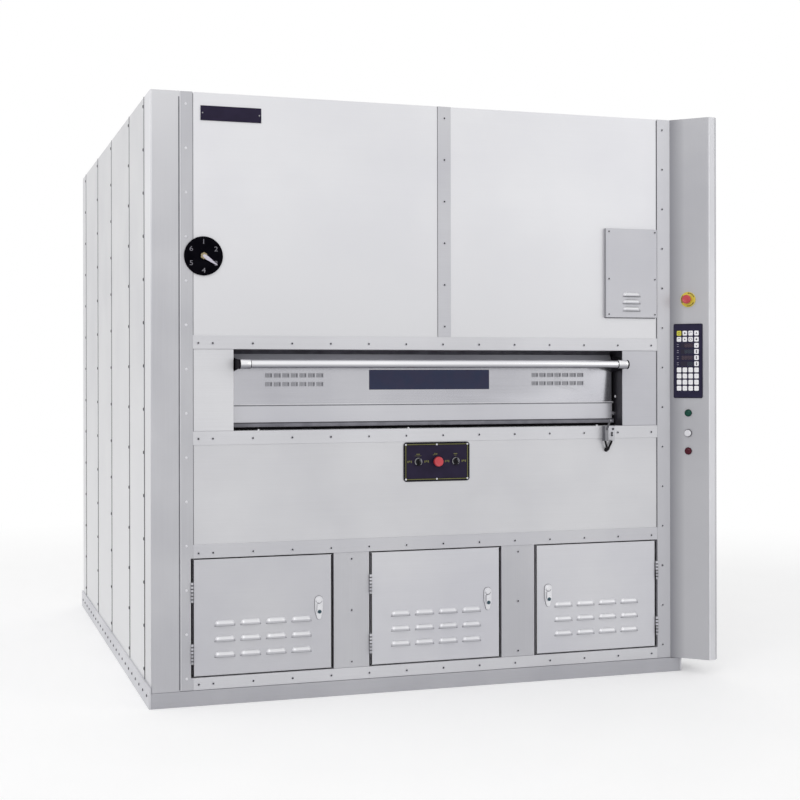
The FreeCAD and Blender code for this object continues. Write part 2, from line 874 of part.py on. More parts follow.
# Push button: a cap that slides in its ring
def push_button():
    start = button_travel + knob_gap
    length = button_ring_length + button_cap_rise - start
    cap = moulded_cap(cap_sides, button_cap_radius, start, length, button_cap_bevel)
    return on_console(cap, button_height)


# Limit switch: a slim box with a bore for the lever, on an angle bracket
def limit_switch():
    back = -cover_thickness
    case = block(switch_left, switch_left + switch_width, back - switch_depth, back,
                 switch_bottom, switch_bottom + switch_height)
    bracket = block(switch_left + switch_width, switch_left + bracket_width, back - bracket_thickness, back,
                    switch_bottom, switch_bottom + switch_height)
    hole = rod(lever_pin_radius + lever_pin_clearance, switch_depth - bracket_thickness,
               switch_left + switch_width / 2, back - bracket_thickness, lever_pivot_height(), V(0, -1, 0))
    return case.fuse(bracket).cut(hole).removeSplitter()


def lever_pivot_height():
    return switch_bottom + switch_height - lever_pivot_drop


# Switch lever: a slim arm in front of the switch, with a roller at its tip
def switch_lever():
    s, z = switch_left + switch_width / 2, lever_pivot_height()
    q = -cover_thickness - switch_depth - lever_gap
    tip_s, tip_z = s + lever_reach, z + lever_rise
    run = math.hypot(lever_reach, lever_rise)
    across_s, across_z = lever_rise / run * lever_width / 2, lever_reach / run * lever_width / 2
    points = [V(left + a, front + q, b) for a, b in
              ((s - across_s, z + across_z), (tip_s - across_s, tip_z + across_z),
               (tip_s + across_s, tip_z - across_z), (s + across_s, z - across_z))]
    arm = pushed(points, V(0, -lever_thickness, 0))
    ends = [flat_bar(lever_end_sides, lever_width, lever_thickness, V(left + a, front + q, b), V(0, -1, 0))
            for a, b in ((s, z), (tip_s, tip_z))]
    pin_length = lever_gap + switch_depth / 2
    pin = rod(lever_pin_radius, pin_length, s, q + pin_length, z, V(0, -1, 0))
    roller = rod(roller_radius, roller_length, tip_s, q - lever_thickness, tip_z, V(0, -1, 0))
    return arm.fuse(ends + [pin, roller]).removeSplitter()


# A flat-sided tube along straight runs, the first of them straight down
def lead(points):
    corners = [points[0] + corner for corner in flat_corners(lead_sides, 2 * lead_radius)]
    sweep = Part.BRepOffsetAPI.MakePipeShell(Part.makePolygon(points))
    sweep.setTransitionMode(1)
    sweep.add(Part.makePolygon(corners + corners[:1]))
    sweep.build()
    sweep.makeSolid()
    return sweep.shape()


def switch_leads():
    back = -cover_thickness
    meet = switch_bottom - lead_meet_drop
    foot = switch_bottom
    face = -gland_length
    starts = ((switch_left + switch_width / 2, back - switch_depth / 2),
              (switch_left + bracket_width - lead_inset, back - bracket_thickness / 2 - lead_radius))
    gland = rod(gland_radius, gland_length, lead_meet_left, 0, meet, V(0, -1, 0))
    solids = [gland]
    for (s, q), side in zip(starts, (-1, 1)):
        end = lead_meet_left + side * (lead_radius + 0.3)
        route = [(s, q, foot), (s, q, foot - lead_drop),
                 ((s + end) / 2, (q + face - lead_run) / 2, (foot - lead_drop + meet) / 2 - lead_radius),
                 (end, face - lead_run, meet), (end, face, meet)]
        solids.append(lead([V(left + a, front + b, c) for a, b, c in route]))
    return together(solids)


# Every sub-part, by the name of its node
starts = service_openings()
nodes = {
    "base_plinth": base_plinth(),
    "side_skirts": side_skirts(),
    "left_wall_panels": wall_bays(0, wall_thickness),
    "right_wall_panels": wall_bays(body_width - wall_thickness, body_width),
    "rear_wall_panels": rear_wall_panels(),
    "roof_panels": roof_panels(),
    "chamber_floor": chamber_floor(),
    "left_corner_post": left_corner_post(),
    "right_corner_post": right_corner_post(),
    "upper_left_panel": upper_panel(strip_left, batten_left + batten_width / 2),
    "upper_right_panel": upper_panel(batten_left + batten_width / 2, post_right),
    "mouth_side_panels": mouth_side_panels(),
    "mouth_jambs": mouth_jambs(),
    "mouth_threshold": mouth_threshold(),
    "middle_front_panel": middle_front_panel(),
    "service_posts": service_posts(),
    "base_rail": base_rail(),
    "upright_strips": upright_strips(),
    "centre_batten": centre_batten(),
    "cross_bands": cross_bands(),
    "vent_cover": vent_cover(),
    "name_plate": name_plate(),
    "dial_face": dial_face(),
    "dial_pointer": dial_pointer(),
    "control_plate": control_plate(),
    "button_bezels": button_bezels(),
    "left_selector": moved(selector_knob(), selector_places[0], 0, control_row),
    "right_selector": moved(selector_knob(), selector_places[1], 0, control_row),
    "stop_button": stop_button(),
    "console_column": console_column(),
    "keypad_panel": keypad_panel(),
    "pilot_lamps": pilot_lamps(),
    "estop_head": estop_head(),
    "push_button": push_button(),
    "limit_switch": limit_switch(),
    "switch_lever": switch_lever(),
    "switch_leads": switch_leads(),
    "main_door_leaf": main_door_leaf(),
    "main_door_window": main_door_window(),
    "door_arms": door_arms(),
    "handle_bar": handle_bar(),
}

fixed_halves = []
for side, start in zip(("left", "middle", "right"), starts):
    hinged_right = side == "right"
    leaf, halves = service_door(start), fixed_knuckles(start)
    if hinged_right:
        leaf = flipped(leaf, start)
        halves = [flipped(half, start) for half in halves]
    nodes["service_door_" + side] = leaf
    fixed_halves += halves
    latch_s, latch_z = latch_place(start, hinged_right), service_bottom + latch_rise + service_end_gap
    nodes["latch_case_" + side] = moved(latch_case(), latch_s, 0, latch_z)
    nodes["latch_handle_" + side] = moved(latch_handle(), latch_s, 0, latch_z)
nodes["fixed_hinges"] = together(fixed_halves)

os.makedirs("parts", exist_ok=True)
for name, shape in nodes.items():
    shape.exportStep("parts/" + name + ".step")
    print(name, len(shape.Solids), "solids", round(shape.Volume / 1e3), "cm3", shape.isValid())
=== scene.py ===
import json
import math

import bmesh
import bpy
from mathutils import Matrix, Vector


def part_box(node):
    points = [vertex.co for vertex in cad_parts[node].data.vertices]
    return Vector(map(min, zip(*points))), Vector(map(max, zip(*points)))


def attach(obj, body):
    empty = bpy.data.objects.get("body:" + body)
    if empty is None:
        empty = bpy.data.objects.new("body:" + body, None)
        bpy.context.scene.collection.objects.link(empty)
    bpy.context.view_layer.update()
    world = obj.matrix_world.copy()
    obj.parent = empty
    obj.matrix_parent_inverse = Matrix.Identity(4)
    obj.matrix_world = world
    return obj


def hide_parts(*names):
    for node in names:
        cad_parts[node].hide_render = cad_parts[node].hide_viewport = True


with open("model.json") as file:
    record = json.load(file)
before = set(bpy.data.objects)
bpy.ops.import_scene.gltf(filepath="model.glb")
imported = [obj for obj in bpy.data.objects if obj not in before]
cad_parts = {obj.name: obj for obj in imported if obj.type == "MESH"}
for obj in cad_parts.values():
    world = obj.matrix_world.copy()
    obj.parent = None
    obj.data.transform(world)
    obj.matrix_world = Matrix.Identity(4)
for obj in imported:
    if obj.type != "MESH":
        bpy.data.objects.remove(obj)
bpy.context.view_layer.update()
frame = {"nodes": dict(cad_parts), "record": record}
nodes = frame["nodes"]
bodyOf = {node: body for body, names in frame["record"]["behaviour"]["bodies"].items() for node in names}
mm = 0.001
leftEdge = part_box("left_corner_post")[0].x  # widths are measured from the body's left edge
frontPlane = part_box("base_rail")[0].y  # and depths from its front plane
front = Vector((0, -1, 0))
toRight = Vector((1, 0, 0))
up = Vector((0, 0, 1))
print("frame loaded:", len(nodes), "nodes")


def at(across, deep, high):
    return Vector((leftEdge + across * mm, frontPlane + deep * mm, high * mm))


def middleOf(node):
    low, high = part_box(node)
    return (low + high) / 2


def addObject(name, data):
    added = bpy.data.objects.new(name, data)
    bpy.context.scene.collection.objects.link(added)
    return added


def plainMesh(holder, **options):
    # what a text, a curve or a modifier makes, as a mesh of its own
    graph = bpy.context.evaluated_depsgraph_get()
    mesh = bpy.data.meshes.new_from_object(holder.evaluated_get(graph), depsgraph=graph, **options)
    bpy.data.objects.remove(holder)
    return mesh


# colours, nodes and materials

def linear(hexCode):
    channels = [int(hexCode[i:i + 2], 16) / 255 for i in (1, 3, 5)]
    return tuple(c / 12.92 if c <= 0.04045 else ((c + 0.055) / 1.055) ** 2.4 for c in channels) + (1.0,)


def addNode(tree, kind, settings=None, links=None):
    node = tree.nodes.new(kind)
    for key, value in (settings or {}).items():
        if isinstance(key, int) or (key in node.inputs and not hasattr(node, key)):
            node.inputs[key].default_value = value
        else:
            setattr(node, key, value)
    for key, source in (links or {}).items():
        output = source[0].outputs[source[1]] if isinstance(source, tuple) else source.outputs[0]
        tree.links.new(output, node.inputs[key])
    return node


def clearedTree(owner):
    owner.use_nodes = True
    owner.node_tree.nodes.clear()
    return owner.node_tree


def openFinish(name, look):
    # two tones that pass into each other in soft patches, toneMm wide
    material = bpy.data.materials.new(name)
    tree = clearedTree(material)
    place = (addNode(tree, "ShaderNodeTexCoord"), "Object")
    tone = addNode(tree, "ShaderNodeTexNoise", {"Scale": 1000 / look["toneMm"], "Detail": look["toneDetail"]},
                   {"Vector": place})
    share = addNode(tree, "ShaderNodeMapRange", {1: 0.35, 2: 0.65}, {0: tone})
    paint = addNode(tree, "ShaderNodeMix",
                    {"data_type": "RGBA", 6: linear(look["colour"]), 7: linear(look["shade"])}, {0: share})
    return material, tree, place, tone, paint


shaderSockets = {"ior": "IOR", "specular": "Specular IOR Level", "coat": "Coat Weight",
                 "coatRough": "Coat Roughness"}


def closeFinish(tree, look, paint, roughBy, raisedBy):
    # the shader, its gloss varied by one pattern and its surface raised by another
    rough = addNode(tree, "ShaderNodeMapRange",
                    {1: 0.3, 2: 0.7, 3: look["rough"] - 0.04, 4: look["rough"] + 0.05}, {0: roughBy})
    bump = addNode(tree, "ShaderNodeBump", {"Strength": look["bump"], "Distance": look["reliefMm"] * mm},
                   {"Height": raisedBy})
    fixed = {socket: look[key] for key, socket in shaderSockets.items() if key in look}
    shader = addNode(tree, "ShaderNodeBsdfPrincipled", {"Metallic": look["metal"], **fixed},
                     {"Base Color": (paint, 2), "Roughness": rough, "Normal": bump})
    addNode(tree, "ShaderNodeOutputMaterial", {}, {"Surface": shader})


brushWays = {  # stretch of the brush pattern along x, y and z
    "across": (0.012, 1.0, 1.0),
    "upright": (1.0, 1.0, 0.012),
    "none": (1.0, 1.0, 1.0),
}


def sheetFinish(name, look):
    # rolled and brushed sheet: toneMm is the width of its soft patches, brushMm that of one brush line
    material, tree, place, _, paint = openFinish(name, look)
    stretched = addNode(tree, "ShaderNodeMapping", {"Scale": brushWays[look["brush"]]}, {"Vector": place})
    brush = addNode(tree, "ShaderNodeTexNoise",
                    {"Scale": 1000 / look["brushMm"], "Detail": 4.0, "Roughness": 0.6}, {"Vector": stretched})
    streaks = addNode(tree, "ShaderNodeMapRange",
                      {1: 0.3, 2: 0.7, 3: 1 - look["streak"], 4: 1 + look["streak"] / 2}, {0: brush})
    paint = addNode(tree, "ShaderNodeMix", {"data_type": "RGBA", "blend_type": "MULTIPLY", 0: 1.0},
                    {6: (paint, 2), 7: streaks})
    for way, start, end, colour in look["fades"]:  # this colour alone up to start, and none of it past end
        along = addNode(tree, "ShaderNodeVectorMath", {"operation": "DOT_PRODUCT", 1: way}, {0: place})
        share = addNode(tree, "ShaderNodeMapRange", {1: start, 2: end, 3: 1.0, 4: 0.0}, {0: (along, "Value")})
        paint = addNode(tree, "ShaderNodeMix", {"data_type": "RGBA", 7: linear(colour)},
                        {0: share, 6: (paint, 2)})
    closeFinish(tree, look, paint, brush, brush)
    return material


def mouldedFinish(name, look):
    # moulded, printed or painted: a fine spark-eroded grain of grainMm and a slow shift of tone
    material, tree, place, tone, paint = openFinish(name, look)
    grain = addNode(tree, "ShaderNodeTexNoise", {"Scale": 1000 / look["grainMm"], "Detail": 2.0},
                    {"Vector": place})
    closeFinish(tree, look, paint, tone, grain)
    return material


consoleWay = Vector((1, -1, 0)).normalized()  # to the right along the console's slanted face
consoleFold = consoleWay.dot(at(2065, -3, 0))
barHeight = middleOf("handle_bar").z
sheetUsual = {"brush": "across", "toneMm": 420, "toneDetail": 3.0, "brushMm": 3.0, "rough": 0.42,
              "metal": 0.5, "streak": 0.03, "bump": 0.05, "reliefMm": 0.3, "fades": ()}
sheetLooks = {  # slot: {finish: (colour, its second tone, what differs from the usual)}; brush lines are
    # drawn some ten times wider than the real ones, which are too fine to show in the render
    "panel_steel": {
        "satinStainlessUpper": (  # almost white and calm, a little paler towards the top
            "#e3e3e6", "#dedee2", {"streak": 0.012, "bump": 0.02, "fades": ((up, 1.3, 1.85, "#d8d8db"),)}),
        "satinStainlessMouth": ("#d9d9dc", "#d2d2d6", {"rough": 0.4}),  # soft level sheen
        "shadedStainlessMouth": ("#c5c5ca", "#bdbdc3", {"rough": 0.4}),  # the same sheet, in the bar's shade
        "satinStainlessMiddle": (  # wide plain sheet, hardly any lines
            "#d3d3d6", "#cacace", {"rough": 0.4, "streak": 0.02, "bump": 0.02}),
        "satinStainlessDoor": (  # mid grey door sheet with faint level lines
            "#cacace", "#c2c2c8", {"rough": 0.4, "streak": 0.02, "bump": 0.03}),
        "paleStainlessDoor": (  # the same sheet where it catches more light
            "#d3d3d7", "#cbcbd1", {"rough": 0.4, "streak": 0.02, "bump": 0.03}),
        "pressedHoodSteel": (  # painted highlight: the hood's top drawn brighter than the sheet, as it catches the light from above; a little smoother
            "#e8e8eb", "#e0e0e4", {"rough": 0.34, "metal": 0.4, "streak": 0.02}),
        "shadedHoodFoot": (  # painted shade: the lower rows of a hood drawn darker
            "#c2c2c7", "#b9b9bf", {"rough": 0.4, "metal": 0.4, "streak": 0.02}),
        "mirrorStainlessLeaf": (  # polished sheet that mirrors the room as soft zones
            "#bfbfc4", "#b4b4ba", {"brushMm": 5.0, "rough": 0.17, "metal": 0.92, "bump": 0.01}),
        "railStainless": (  # half polished: a blurred reflection and no lines
            "#cbcbd0", "#c2c2c8", {"brushMm": 5.0, "rough": 0.32, "metal": 0.7, "streak": 0.015,
                                   "bump": 0.005}),
        "bevelledLeafTop": (  # dull slope that catches little light
            "#a3a3aa", "#97979e", {"rough": 0.35, "metal": 0.4, "streak": 0.05, "bump": 0.02}),
        "punchedVentSteel": (  # bare punched edges, with short upright lines
            "#a6a6ab", "#9b9ba1", {"brush": "upright", "brushMm": 1.5, "rough": 0.35, "metal": 0.8,
                                   "streak": 0.08}),
    },
    "strip_steel": {
        "satinStainlessPost": (  # upright grain, paler near the top
            "#c6c6ca", "#bbbbc0", {"brush": "upright", "fades": ((up, 2.2, 1.72, "#d2d2d5"),)}),
        "satinStainlessStrip": ("#c2c2c6", "#b8b8bd", {"brush": "upright"}),  # plain upright grain
        "paleStainlessStrip": (  # the right strip: the same upright grain drawn paler as painted light, and darker towards the foot
            "#d0d0d4", "#c8c8cd", {"brush": "upright", "fades": ((up, 0.9, 1.9, "#bdbdc2"),)}),
        "brightStainlessFold": (  # a fold that catches the light as a thin bright line
            "#dcdce0", "#d5d5d9", {"brush": "upright", "rough": 0.4, "metal": 0.4, "streak": 0.02}),
        "softSheetEdge": (  # painted shade on a side that faces left, seen as a grey line
            "#9c9ca1", "#909096", {"brush": "upright", "rough": 0.45, "metal": 0.4, "streak": 0.04}),
        "shadedSheetEdge": (  # cut edge in shade
            "#77777c", "#6b6b71", {"brush": "upright", "rough": 0.45, "streak": 0.05}),
        "satinStainlessBand": ("#d4d4d8", "#ccccd0", {}),  # level grain, light
        "shadedStainlessBand": ("#c9c9cd", "#bfbfc5", {}),  # level grain, a shade deeper: painted shade on the door band
        "paleStainlessBand": ("#d6d6da", "#cdcdd1", {}),  # level grain, lightest: painted light on the foot band and the rail's bright line
        "satinStainlessCover": ("#c4c4c9", "#bdbdc3", {"streak": 0.02}),  # flat grey lid
        "paleRivetSteel": (  # small bright heads with no grain
            "#d8d8dc", "#c6c6cb", {"brush": "none", "brushMm": 1.5, "rough": 0.32, "metal": 0.8,
                                   "streak": 0.05}),
    },
    "plinth_paint": {
        "satinStainlessPlinth": ("#bababf", "#b0b0b6", {"rough": 0.45, "metal": 0.4}),  # duller, by the floor
        "satinStainlessSkirt": ("#d8d8dc", "#cfcfd4", {"rough": 0.45, "metal": 0.4}),  # the walls' pale foot
    },
    "wall_paint": {
        "whitePowderCoat": (  # baked powder: even white with a fine orange peel
            "#dfdfe1", "#d7d7da", {"brush": "none", "brushMm": 1.6, "rough": 0.5, "metal": 0.0,
                                   "streak": 0.015, "fades": ((up, 0.2, 1.3, "#e9e9eb"),)}),
        "panelJointSealant": (  # matt bead, dark at the foot and greyed by light above
            "#8f8f93", "#85858a", {"brush": "none", "brushMm": 4.0, "rough": 0.6, "metal": 0.0,
                                   "streak": 0.05, "fades": ((up, 0.4, 2.2, "#2b2a2f"),)}),
    },
    "console_paint": {
        "greyPowderCoat": (  # satin grey, with painted shade darkening it along the fold
            "#bababe", "#b1b1b6", {"brush": "upright", "metal": 0.3, "streak": 0.02,
                                   "fades": ((up, 0.2, 0.95, "#bebec2"), (
                                       consoleWay, consoleFold + 6 * mm, consoleFold + 60 * mm, "#8e8e94"))}),
        "paleGreyPowderCoat": (  # the same paint in full light
            "#dbdbdf", "#d4d4d8", {"brush": "upright", "metal": 0.3, "streak": 0.02}),
    },
    "jamb_dark": {  # bluish dark steel, darkened further as painted shade, so that the mouth reads as deep
        "darkJambSteel": ("#4a4850", "#38363d", {"brush": "upright", "streak": 0.1}),
    },
    "chamber_steel": {  # cloudy brown-grey, as bare steel goes in heat
        "heatTintedSteel": ("#77767a", "#636266", {"brush": "none", "brushMm": 6, "rough": 0.5, "metal": 0.6,
                                                   "streak": 0.15}),
    },
    "bar_chrome": {  # bright round bar, with painted shade and reflection darkening its underside
        "polishedBarChrome": ("#f4f4f6", "#ececef", {
            "brushMm": 1.2, "rough": 0.12, "metal": 1.0, "streak": 0.02, "bump": 0.01,
            "fades": ((up, barHeight - 7 * mm, barHeight + 2 * mm, "#9a9aa0"),)}),
    },
    "latch_chrome": {  # cast and satin plated: soft highlights on rounded edges
        "castSatinChrome": ("#ebebee", "#e0e0e4", {"brush": "none", "brushMm": 2.0, "rough": 0.3,
                                                   "metal": 0.6, "streak": 0.02}),
    },
    "hinge_steel": {  # zinc plated: mottled light grey
        "brightZincSteel": ("#bdbdc1", "#a9a9ae", {"brush": "none", "brushMm": 2.0, "rough": 0.36,
                                                   "metal": 0.8, "streak": 0.08}),
    },
    "pointer_silver": {
        "brushedAluminium": (  # cool pale blade
            "#d2cedb", "#c0bcc9", {"brush": "none", "brushMm": 1.0, "rough": 0.3, "metal": 0.9,
                                   "streak": 0.08}),
        "rawBrass": (  # dull yellow-grey hub
            "#a8997a", "#8c7d60", {"brush": "none", "brushMm": 1.5, "rough": 0.34, "metal": 0.9,
                                   "streak": 0.1}),
    },
}
mouldedUsual = {"toneMm": 45, "toneDetail": 2.0, "grainMm": 0.9, "rough": 0.5, "metal": 0.0, "bump": 0.08,
                "reliefMm": 0.1}
mouldedLooks = {  # laid out as the sheets are
    "arm_black": {"blackEnamel": ("#17161a", "#1f1d23", {"specular": 0.01})},  # deep even black
    "dial_black": {
        "blackDialEnamel": ("#0a090e", "#100f15", {"specular": 0.0, "rough": 0.45}),  # deepest black
        "greyDialInk": ("#85838b", "#75737b", {"specular": 0.2, "rough": 0.6}),  # matt grey figures
    },
    "plate_navy": {  # printed plates with a fine even tooth
        "navyPrintedPlate": (  # silk matt navy
            "#251f34", "#2a243a", {"specular": 0.12, "rough": 0.42, "grainMm": 0.6}),
        "blackPrintedRim": (  # silk matt black, which sets the plate off
            "#18161d", "#1e1b24", {"specular": 0.12, "rough": 0.42, "grainMm": 0.6}),
        "oliveInk": ("#787749", "#68673e", {"specular": 0.2}),  # dull yellow-green line
    },
    "window_navy": {"navyWindowGlass": ("#2f3550", "#34354f", {  # smooth dark blue glass
        "specular": 0.2, "rough": 0.14, "grainMm": 2.0, "bump": 0.01, "ior": 1.5})},
    "keypad_film": {
        "navyKeypadFilm": (  # smooth film with a faint gleam
            "#26233a", "#2b2841", {"specular": 0.12, "rough": 0.34, "grainMm": 0.5}),
        "whiteKey": ("#fdfdff", "#f8f8fb", {"rough": 0.42}),  # bright keys on the dark film
        "yellowKey": ("#e0da45", "#d6cf3e", {"rough": 0.42}),  # the one yellow key
        "darkKeyInk": ("#3d3b48", "#33313d", {"specular": 0.15}),  # small dark marks
        "paleKeyInk": ("#a5a3b2", "#9997a6", {}),  # small grey marks
        "darkDisplay": ("#34303f", "#2f2c3b", {"specular": 0.12, "rough": 0.16, "bump": 0.01}),  # glossy
        "unlitRedSegment": ("#6e5a62", "#635058", {"specular": 0.2, "rough": 0.3}),  # dim reddish figures
        "unlitGreenSegment": ("#4d5d68", "#455560", {"specular": 0.2, "rough": 0.3}),  # dim greenish figures
    },
    "knob_black": {
        "blackNylon": ("#17161a", "#1e1d22", {"specular": 0.15, "rough": 0.42}),  # soft black
        "greyGripFacet": ("#8d8c95", "#7b7a83", {"rough": 0.4}),  # a painted highlight on the knob's flat, and the grip's pointer line
    },
    "stop_red": {"redGlossAbs": ("#cc3f49", "#c03640", {  # glossy red with a clear highlight
        "rough": 0.3, "ior": 1.5, "coat": 0.25, "coatRough": 0.15})},
    "ring_yellow": {"yellowAbs": ("#e8d348", "#dcc63d", {"rough": 0.4})},  # satin yellow
    "button_white": {"whiteAbs": ("#ededf1", "#e3e3e8", {  # clean white with a small highlight
        "rough": 0.3, "coat": 0.3, "coatRough": 0.1})},
    "lamp_green": {"greenLens": ("#0b4a3c", "#093c31", {  # unlit lens: deep green, glossy
        "rough": 0.12, "bump": 0.01, "specular": 0.2})},
    "lamp_red": {"redLens": ("#560e24", "#460b1d", {  # unlit lens: deep red, glossy
        "rough": 0.12, "bump": 0.01, "specular": 0.2})},
    "bezel_dark": {"darkGreyAbs": ("#55555b", "#4b4b51", {})},  # matt dark grey
    "switch_grey": {
        "switchGreyEnamel": ("#8e8e93", "#838388", {}),  # hammered mid grey
        "switchDarkEnamel": ("#5c5c63", "#525259", {}),  # its side in shade
    },
    "latch_chrome": {"tealLockBarrel": ("#2b4d5a", "#24434f", {"rough": 0.35})},  # dark blue-green dot
    "lead_black": {"blackRubberLead": ("#141316", "#1b1a1e", {"specular": 0.15, "rough": 0.6})},  # matt black
    "jamb_dark": {
        "greyBrushSeal": ("#6c6a74", "#5b5962", {"rough": 0.8, "grainMm": 1.5}),  # soft bristles
        "blackDoorSeal": ("#0b0a0c", "#111012", {"specular": 0.02, "rough": 0.7}),  # a dark gap all round
    },
    "strip_steel": {"shadowedHole": ("#39383d", "#2e2d32", {"specular": 0.15, "rough": 0.7})},  # dark recess
    "panel_steel": {
        "louvreLipShade": ("#77777d", "#6c6c72", {"rough": 0.6}),  # the line of shade under a lip
        "footFoldSteel": ("#8b8a93", "#7a7982", {}),  # dull folded foot
        "softVentShadow": ("#85858b", "#7a7a80", {"rough": 0.6}),  # lighter shade inside small slots
    },
}
finish, slotOf = {}, {}
for looks, usual, build in ((sheetLooks, sheetUsual, sheetFinish),
                            (mouldedLooks, mouldedUsual, mouldedFinish)):
    for slot, rows in looks.items():
        for name, (colour, shade, special) in rows.items():
            finish[name] = build(name, {**usual, "colour": colour, "shade": shade, **special})
            slotOf[name] = slot
print("materials:", len(finish))


# meshes

def plainCopy(nodeName):
    # a CAD node comes as loose triangles, so its copy is merged before anything is done to it
    data = nodes[nodeName].data
    shape = bmesh.new()
    copy = bpy.data.meshes.new(nodeName + "Copy")
    copy.from_pydata([v.co for v in data.vertices], [], [tuple(p.vertices) for p in data.polygons])
    shape.from_mesh(copy)
    bpy.data.meshes.remove(copy)
    bmesh.ops.remove_doubles(shape, verts=shape.verts, dist=0.004 * mm)
    return shape


def islands(nodeName):
    # (low, high) corners of each separate solid in a node, from left to right and then upwards
    shape = plainCopy(nodeName)
    seen, boxes = set(), []
    for start in shape.verts:
        if start in seen:
            continue
        seen.add(start)
        heap, found = [start], []
        while heap:
            vert = heap.pop()
            found.append(vert.co.copy())
            for edge in vert.link_edges:
                other = edge.other_vert(vert)
                if other not in seen:
                    seen.add(other)
                    heap.append(other)
        boxes.append((Vector(map(min, *found)), Vector(map(max, *found))))
    shape.free()
    return sorted(boxes, key=lambda box: (round(box[0].x, 3), box[0].z))


softEdges = {"largeFace": 3000 * mm * mm, "largeAngle": 3, "foldAngle": 35, "flatAngle": 0.4}


def shadeEdges(shape, smoothAngle):
    # a large flat face keeps one plain normal, so no shading creeps over it from its rounded edges
    shape.normal_update()
    for face in shape.faces:
        face.smooth = True
    for edge in shape.edges:
        large = max((face.calc_area() for face in edge.link_faces), default=0) > softEdges["largeFace"]
        limit = math.radians(softEdges["largeAngle"] if large else smoothAngle)
        edge.smooth = edge.is_manifold and edge.calc_face_angle(0) < limit


def placeMesh(mesh, name, body, replaced=()):
    piece = addObject(name, mesh)
    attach(piece, body)
    if replaced:
        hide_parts(*replaced)
    return piece


def finishMesh(shape, name, body, materials, smoothAngle=40, replaced=(), recalculate=True):
    if recalculate:
        bmesh.ops.recalc_face_normals(shape, faces=shape.faces)
    shadeEdges(shape, smoothAngle)
    mesh = bpy.data.meshes.new(name)
    shape.to_mesh(mesh)
    shape.free()
    for material in materials:
        mesh.materials.append(finish[material])
    return placeMesh(mesh, name, body, replaced)


def dress(nodeName, materials, bevelMm, minEdgeMm=0.0, paint=None, mould=None):
    # the node's own shape with its folded or cut edges softened, as bent sheet has them;
    # paint picks a material's index by a face's centre and normal, and mould moves the copy's points
    shape = plainCopy(nodeName)
    if mould:
        for vert in shape.verts:
            vert.co = mould(vert.co)
    bmesh.ops.dissolve_limit(shape, angle_limit=math.radians(softEdges["flatAngle"]), verts=shape.verts,
                             edges=shape.edges)
    foldAngle = math.radians(softEdges["foldAngle"])
    edges = [e for e in shape.edges
             if e.is_manifold and e.calc_face_angle(0) > foldAngle and e.calc_length() > minEdgeMm * mm]
    bmesh.ops.bevel(shape, geom=edges, offset=bevelMm * mm, segments=2, profile=0.5, affect="EDGES",
                    clamp_overlap=True)
    if paint:
        shape.normal_update()
        for face in shape.faces:
            face.material_index = paint(face.calc_center_median(), face.normal)
    finishMesh(shape, nodeName + "Sheet", bodyOf[nodeName], materials, softEdges["foldAngle"], (nodeName,),
               False)


def planeFrame(origin, right, outward):
    # columns: right, up, outward; flat pieces are drawn in the plane and stood up by this
    placed = Matrix((right, outward.cross(right), outward)).transposed().to_4x4()
    placed.translation = origin
    return placed


def facing(origin):
    return planeFrame(origin, toRight, front)


def shifted(place, x, y, z=0):
    return place @ Matrix.Translation(Vector((x, y, z)) * mm)


def turned(shape, place, profile, segments=48):
    # rows: radius mm, height mm, index of the material on the band up to the next row;
    # a profile that ends where it starts makes a ring
    rings = []
    for radius, height, _ in profile:
        if radius == 0:
            rings.append([shape.verts.new(place @ Vector((0, 0, height * mm)))])
        elif rings and (radius, height) == profile[0][:2]:
            rings.append(rings[0])
        else:
            turns = [2 * math.pi * i / segments for i in range(segments)]
            circle = [(radius * mm * math.cos(t), radius * mm * math.sin(t), height * mm) for t in turns]
            rings.append([shape.verts.new(place @ Vector(point)) for point in circle])
    for (lower, upper), (_, _, index) in zip(zip(rings, rings[1:]), profile):
        for i in range(segments):
            j = (i + 1) % segments
            corners = [lower[i % len(lower)], lower[j % len(lower)],
                       upper[j % len(upper)], upper[i % len(upper)]]
            face = shape.faces.new(list(dict.fromkeys(corners)))
            face.material_index = index


def plain(rows, index=0):
    # a turned profile with one material all over
    return [(radius, height, index) for radius, height in rows]


def slab(shape, place, outline, low, high, index=0, rim=0.0):
    # a flat plate with the given outline (mm), from height low to high, its front rim cut back by rim
    middle = Vector((sum(x for x, _ in outline), sum(y for _, y in outline))) / len(outline)
    reach = max((Vector(point) - middle).length for point in outline)
    levels = [(low, 1.0), (high - rim, 1.0), (high, 1 - rim / reach)] if rim else [(low, 1.0), (high, 1.0)]
    rings = []
    for height, share in levels:
        rings.append([shape.verts.new(place @ Vector(((middle.x + (x - middle.x) * share) * mm,
                                                      (middle.y + (y - middle.y) * share) * mm, height * mm)))
                      for x, y in outline])
    faces = [shape.faces.new(rings[-1]), shape.faces.new(rings[0][::-1])]
    for lower, upper in zip(rings, rings[1:]):
        for i in range(len(outline)):
            j = (i + 1) % len(outline)
            faces.append(shape.faces.new((lower[i], lower[j], upper[j], upper[i])))
    for face in faces:
        face.material_index = index


def flatRing(shape, place, outer, inner, low, high, index=0, closed=True):
    # a flat band between two outlines with as many points each
    count = len(outer)
    rings = [[shape.verts.new(place @ Vector((x * mm, y * mm, h * mm))) for x, y in outline]
             for outline, h in ((outer, low), (outer, high), (inner, high), (inner, low))]
    faces = []
    for a, b in zip(rings, rings[1:] + rings[:1]):
        for i in range(count if closed else count - 1):
            j = (i + 1) % count
            faces.append(shape.faces.new((a[i], a[j], b[j], b[i])))
    if not closed:
        faces += [shape.faces.new([ring[end] for ring in rings]) for end in (0, -1)]
    for face in faces:
        face.material_index = index


def arc(radius, start, end, steps=24, centre=(0, 0)):
    turns = [math.radians(start + (end - start) * i / steps) for i in range(steps + 1)]
    return [(centre[0] + radius * math.cos(t), centre[1] + radius * math.sin(t)) for t in turns]


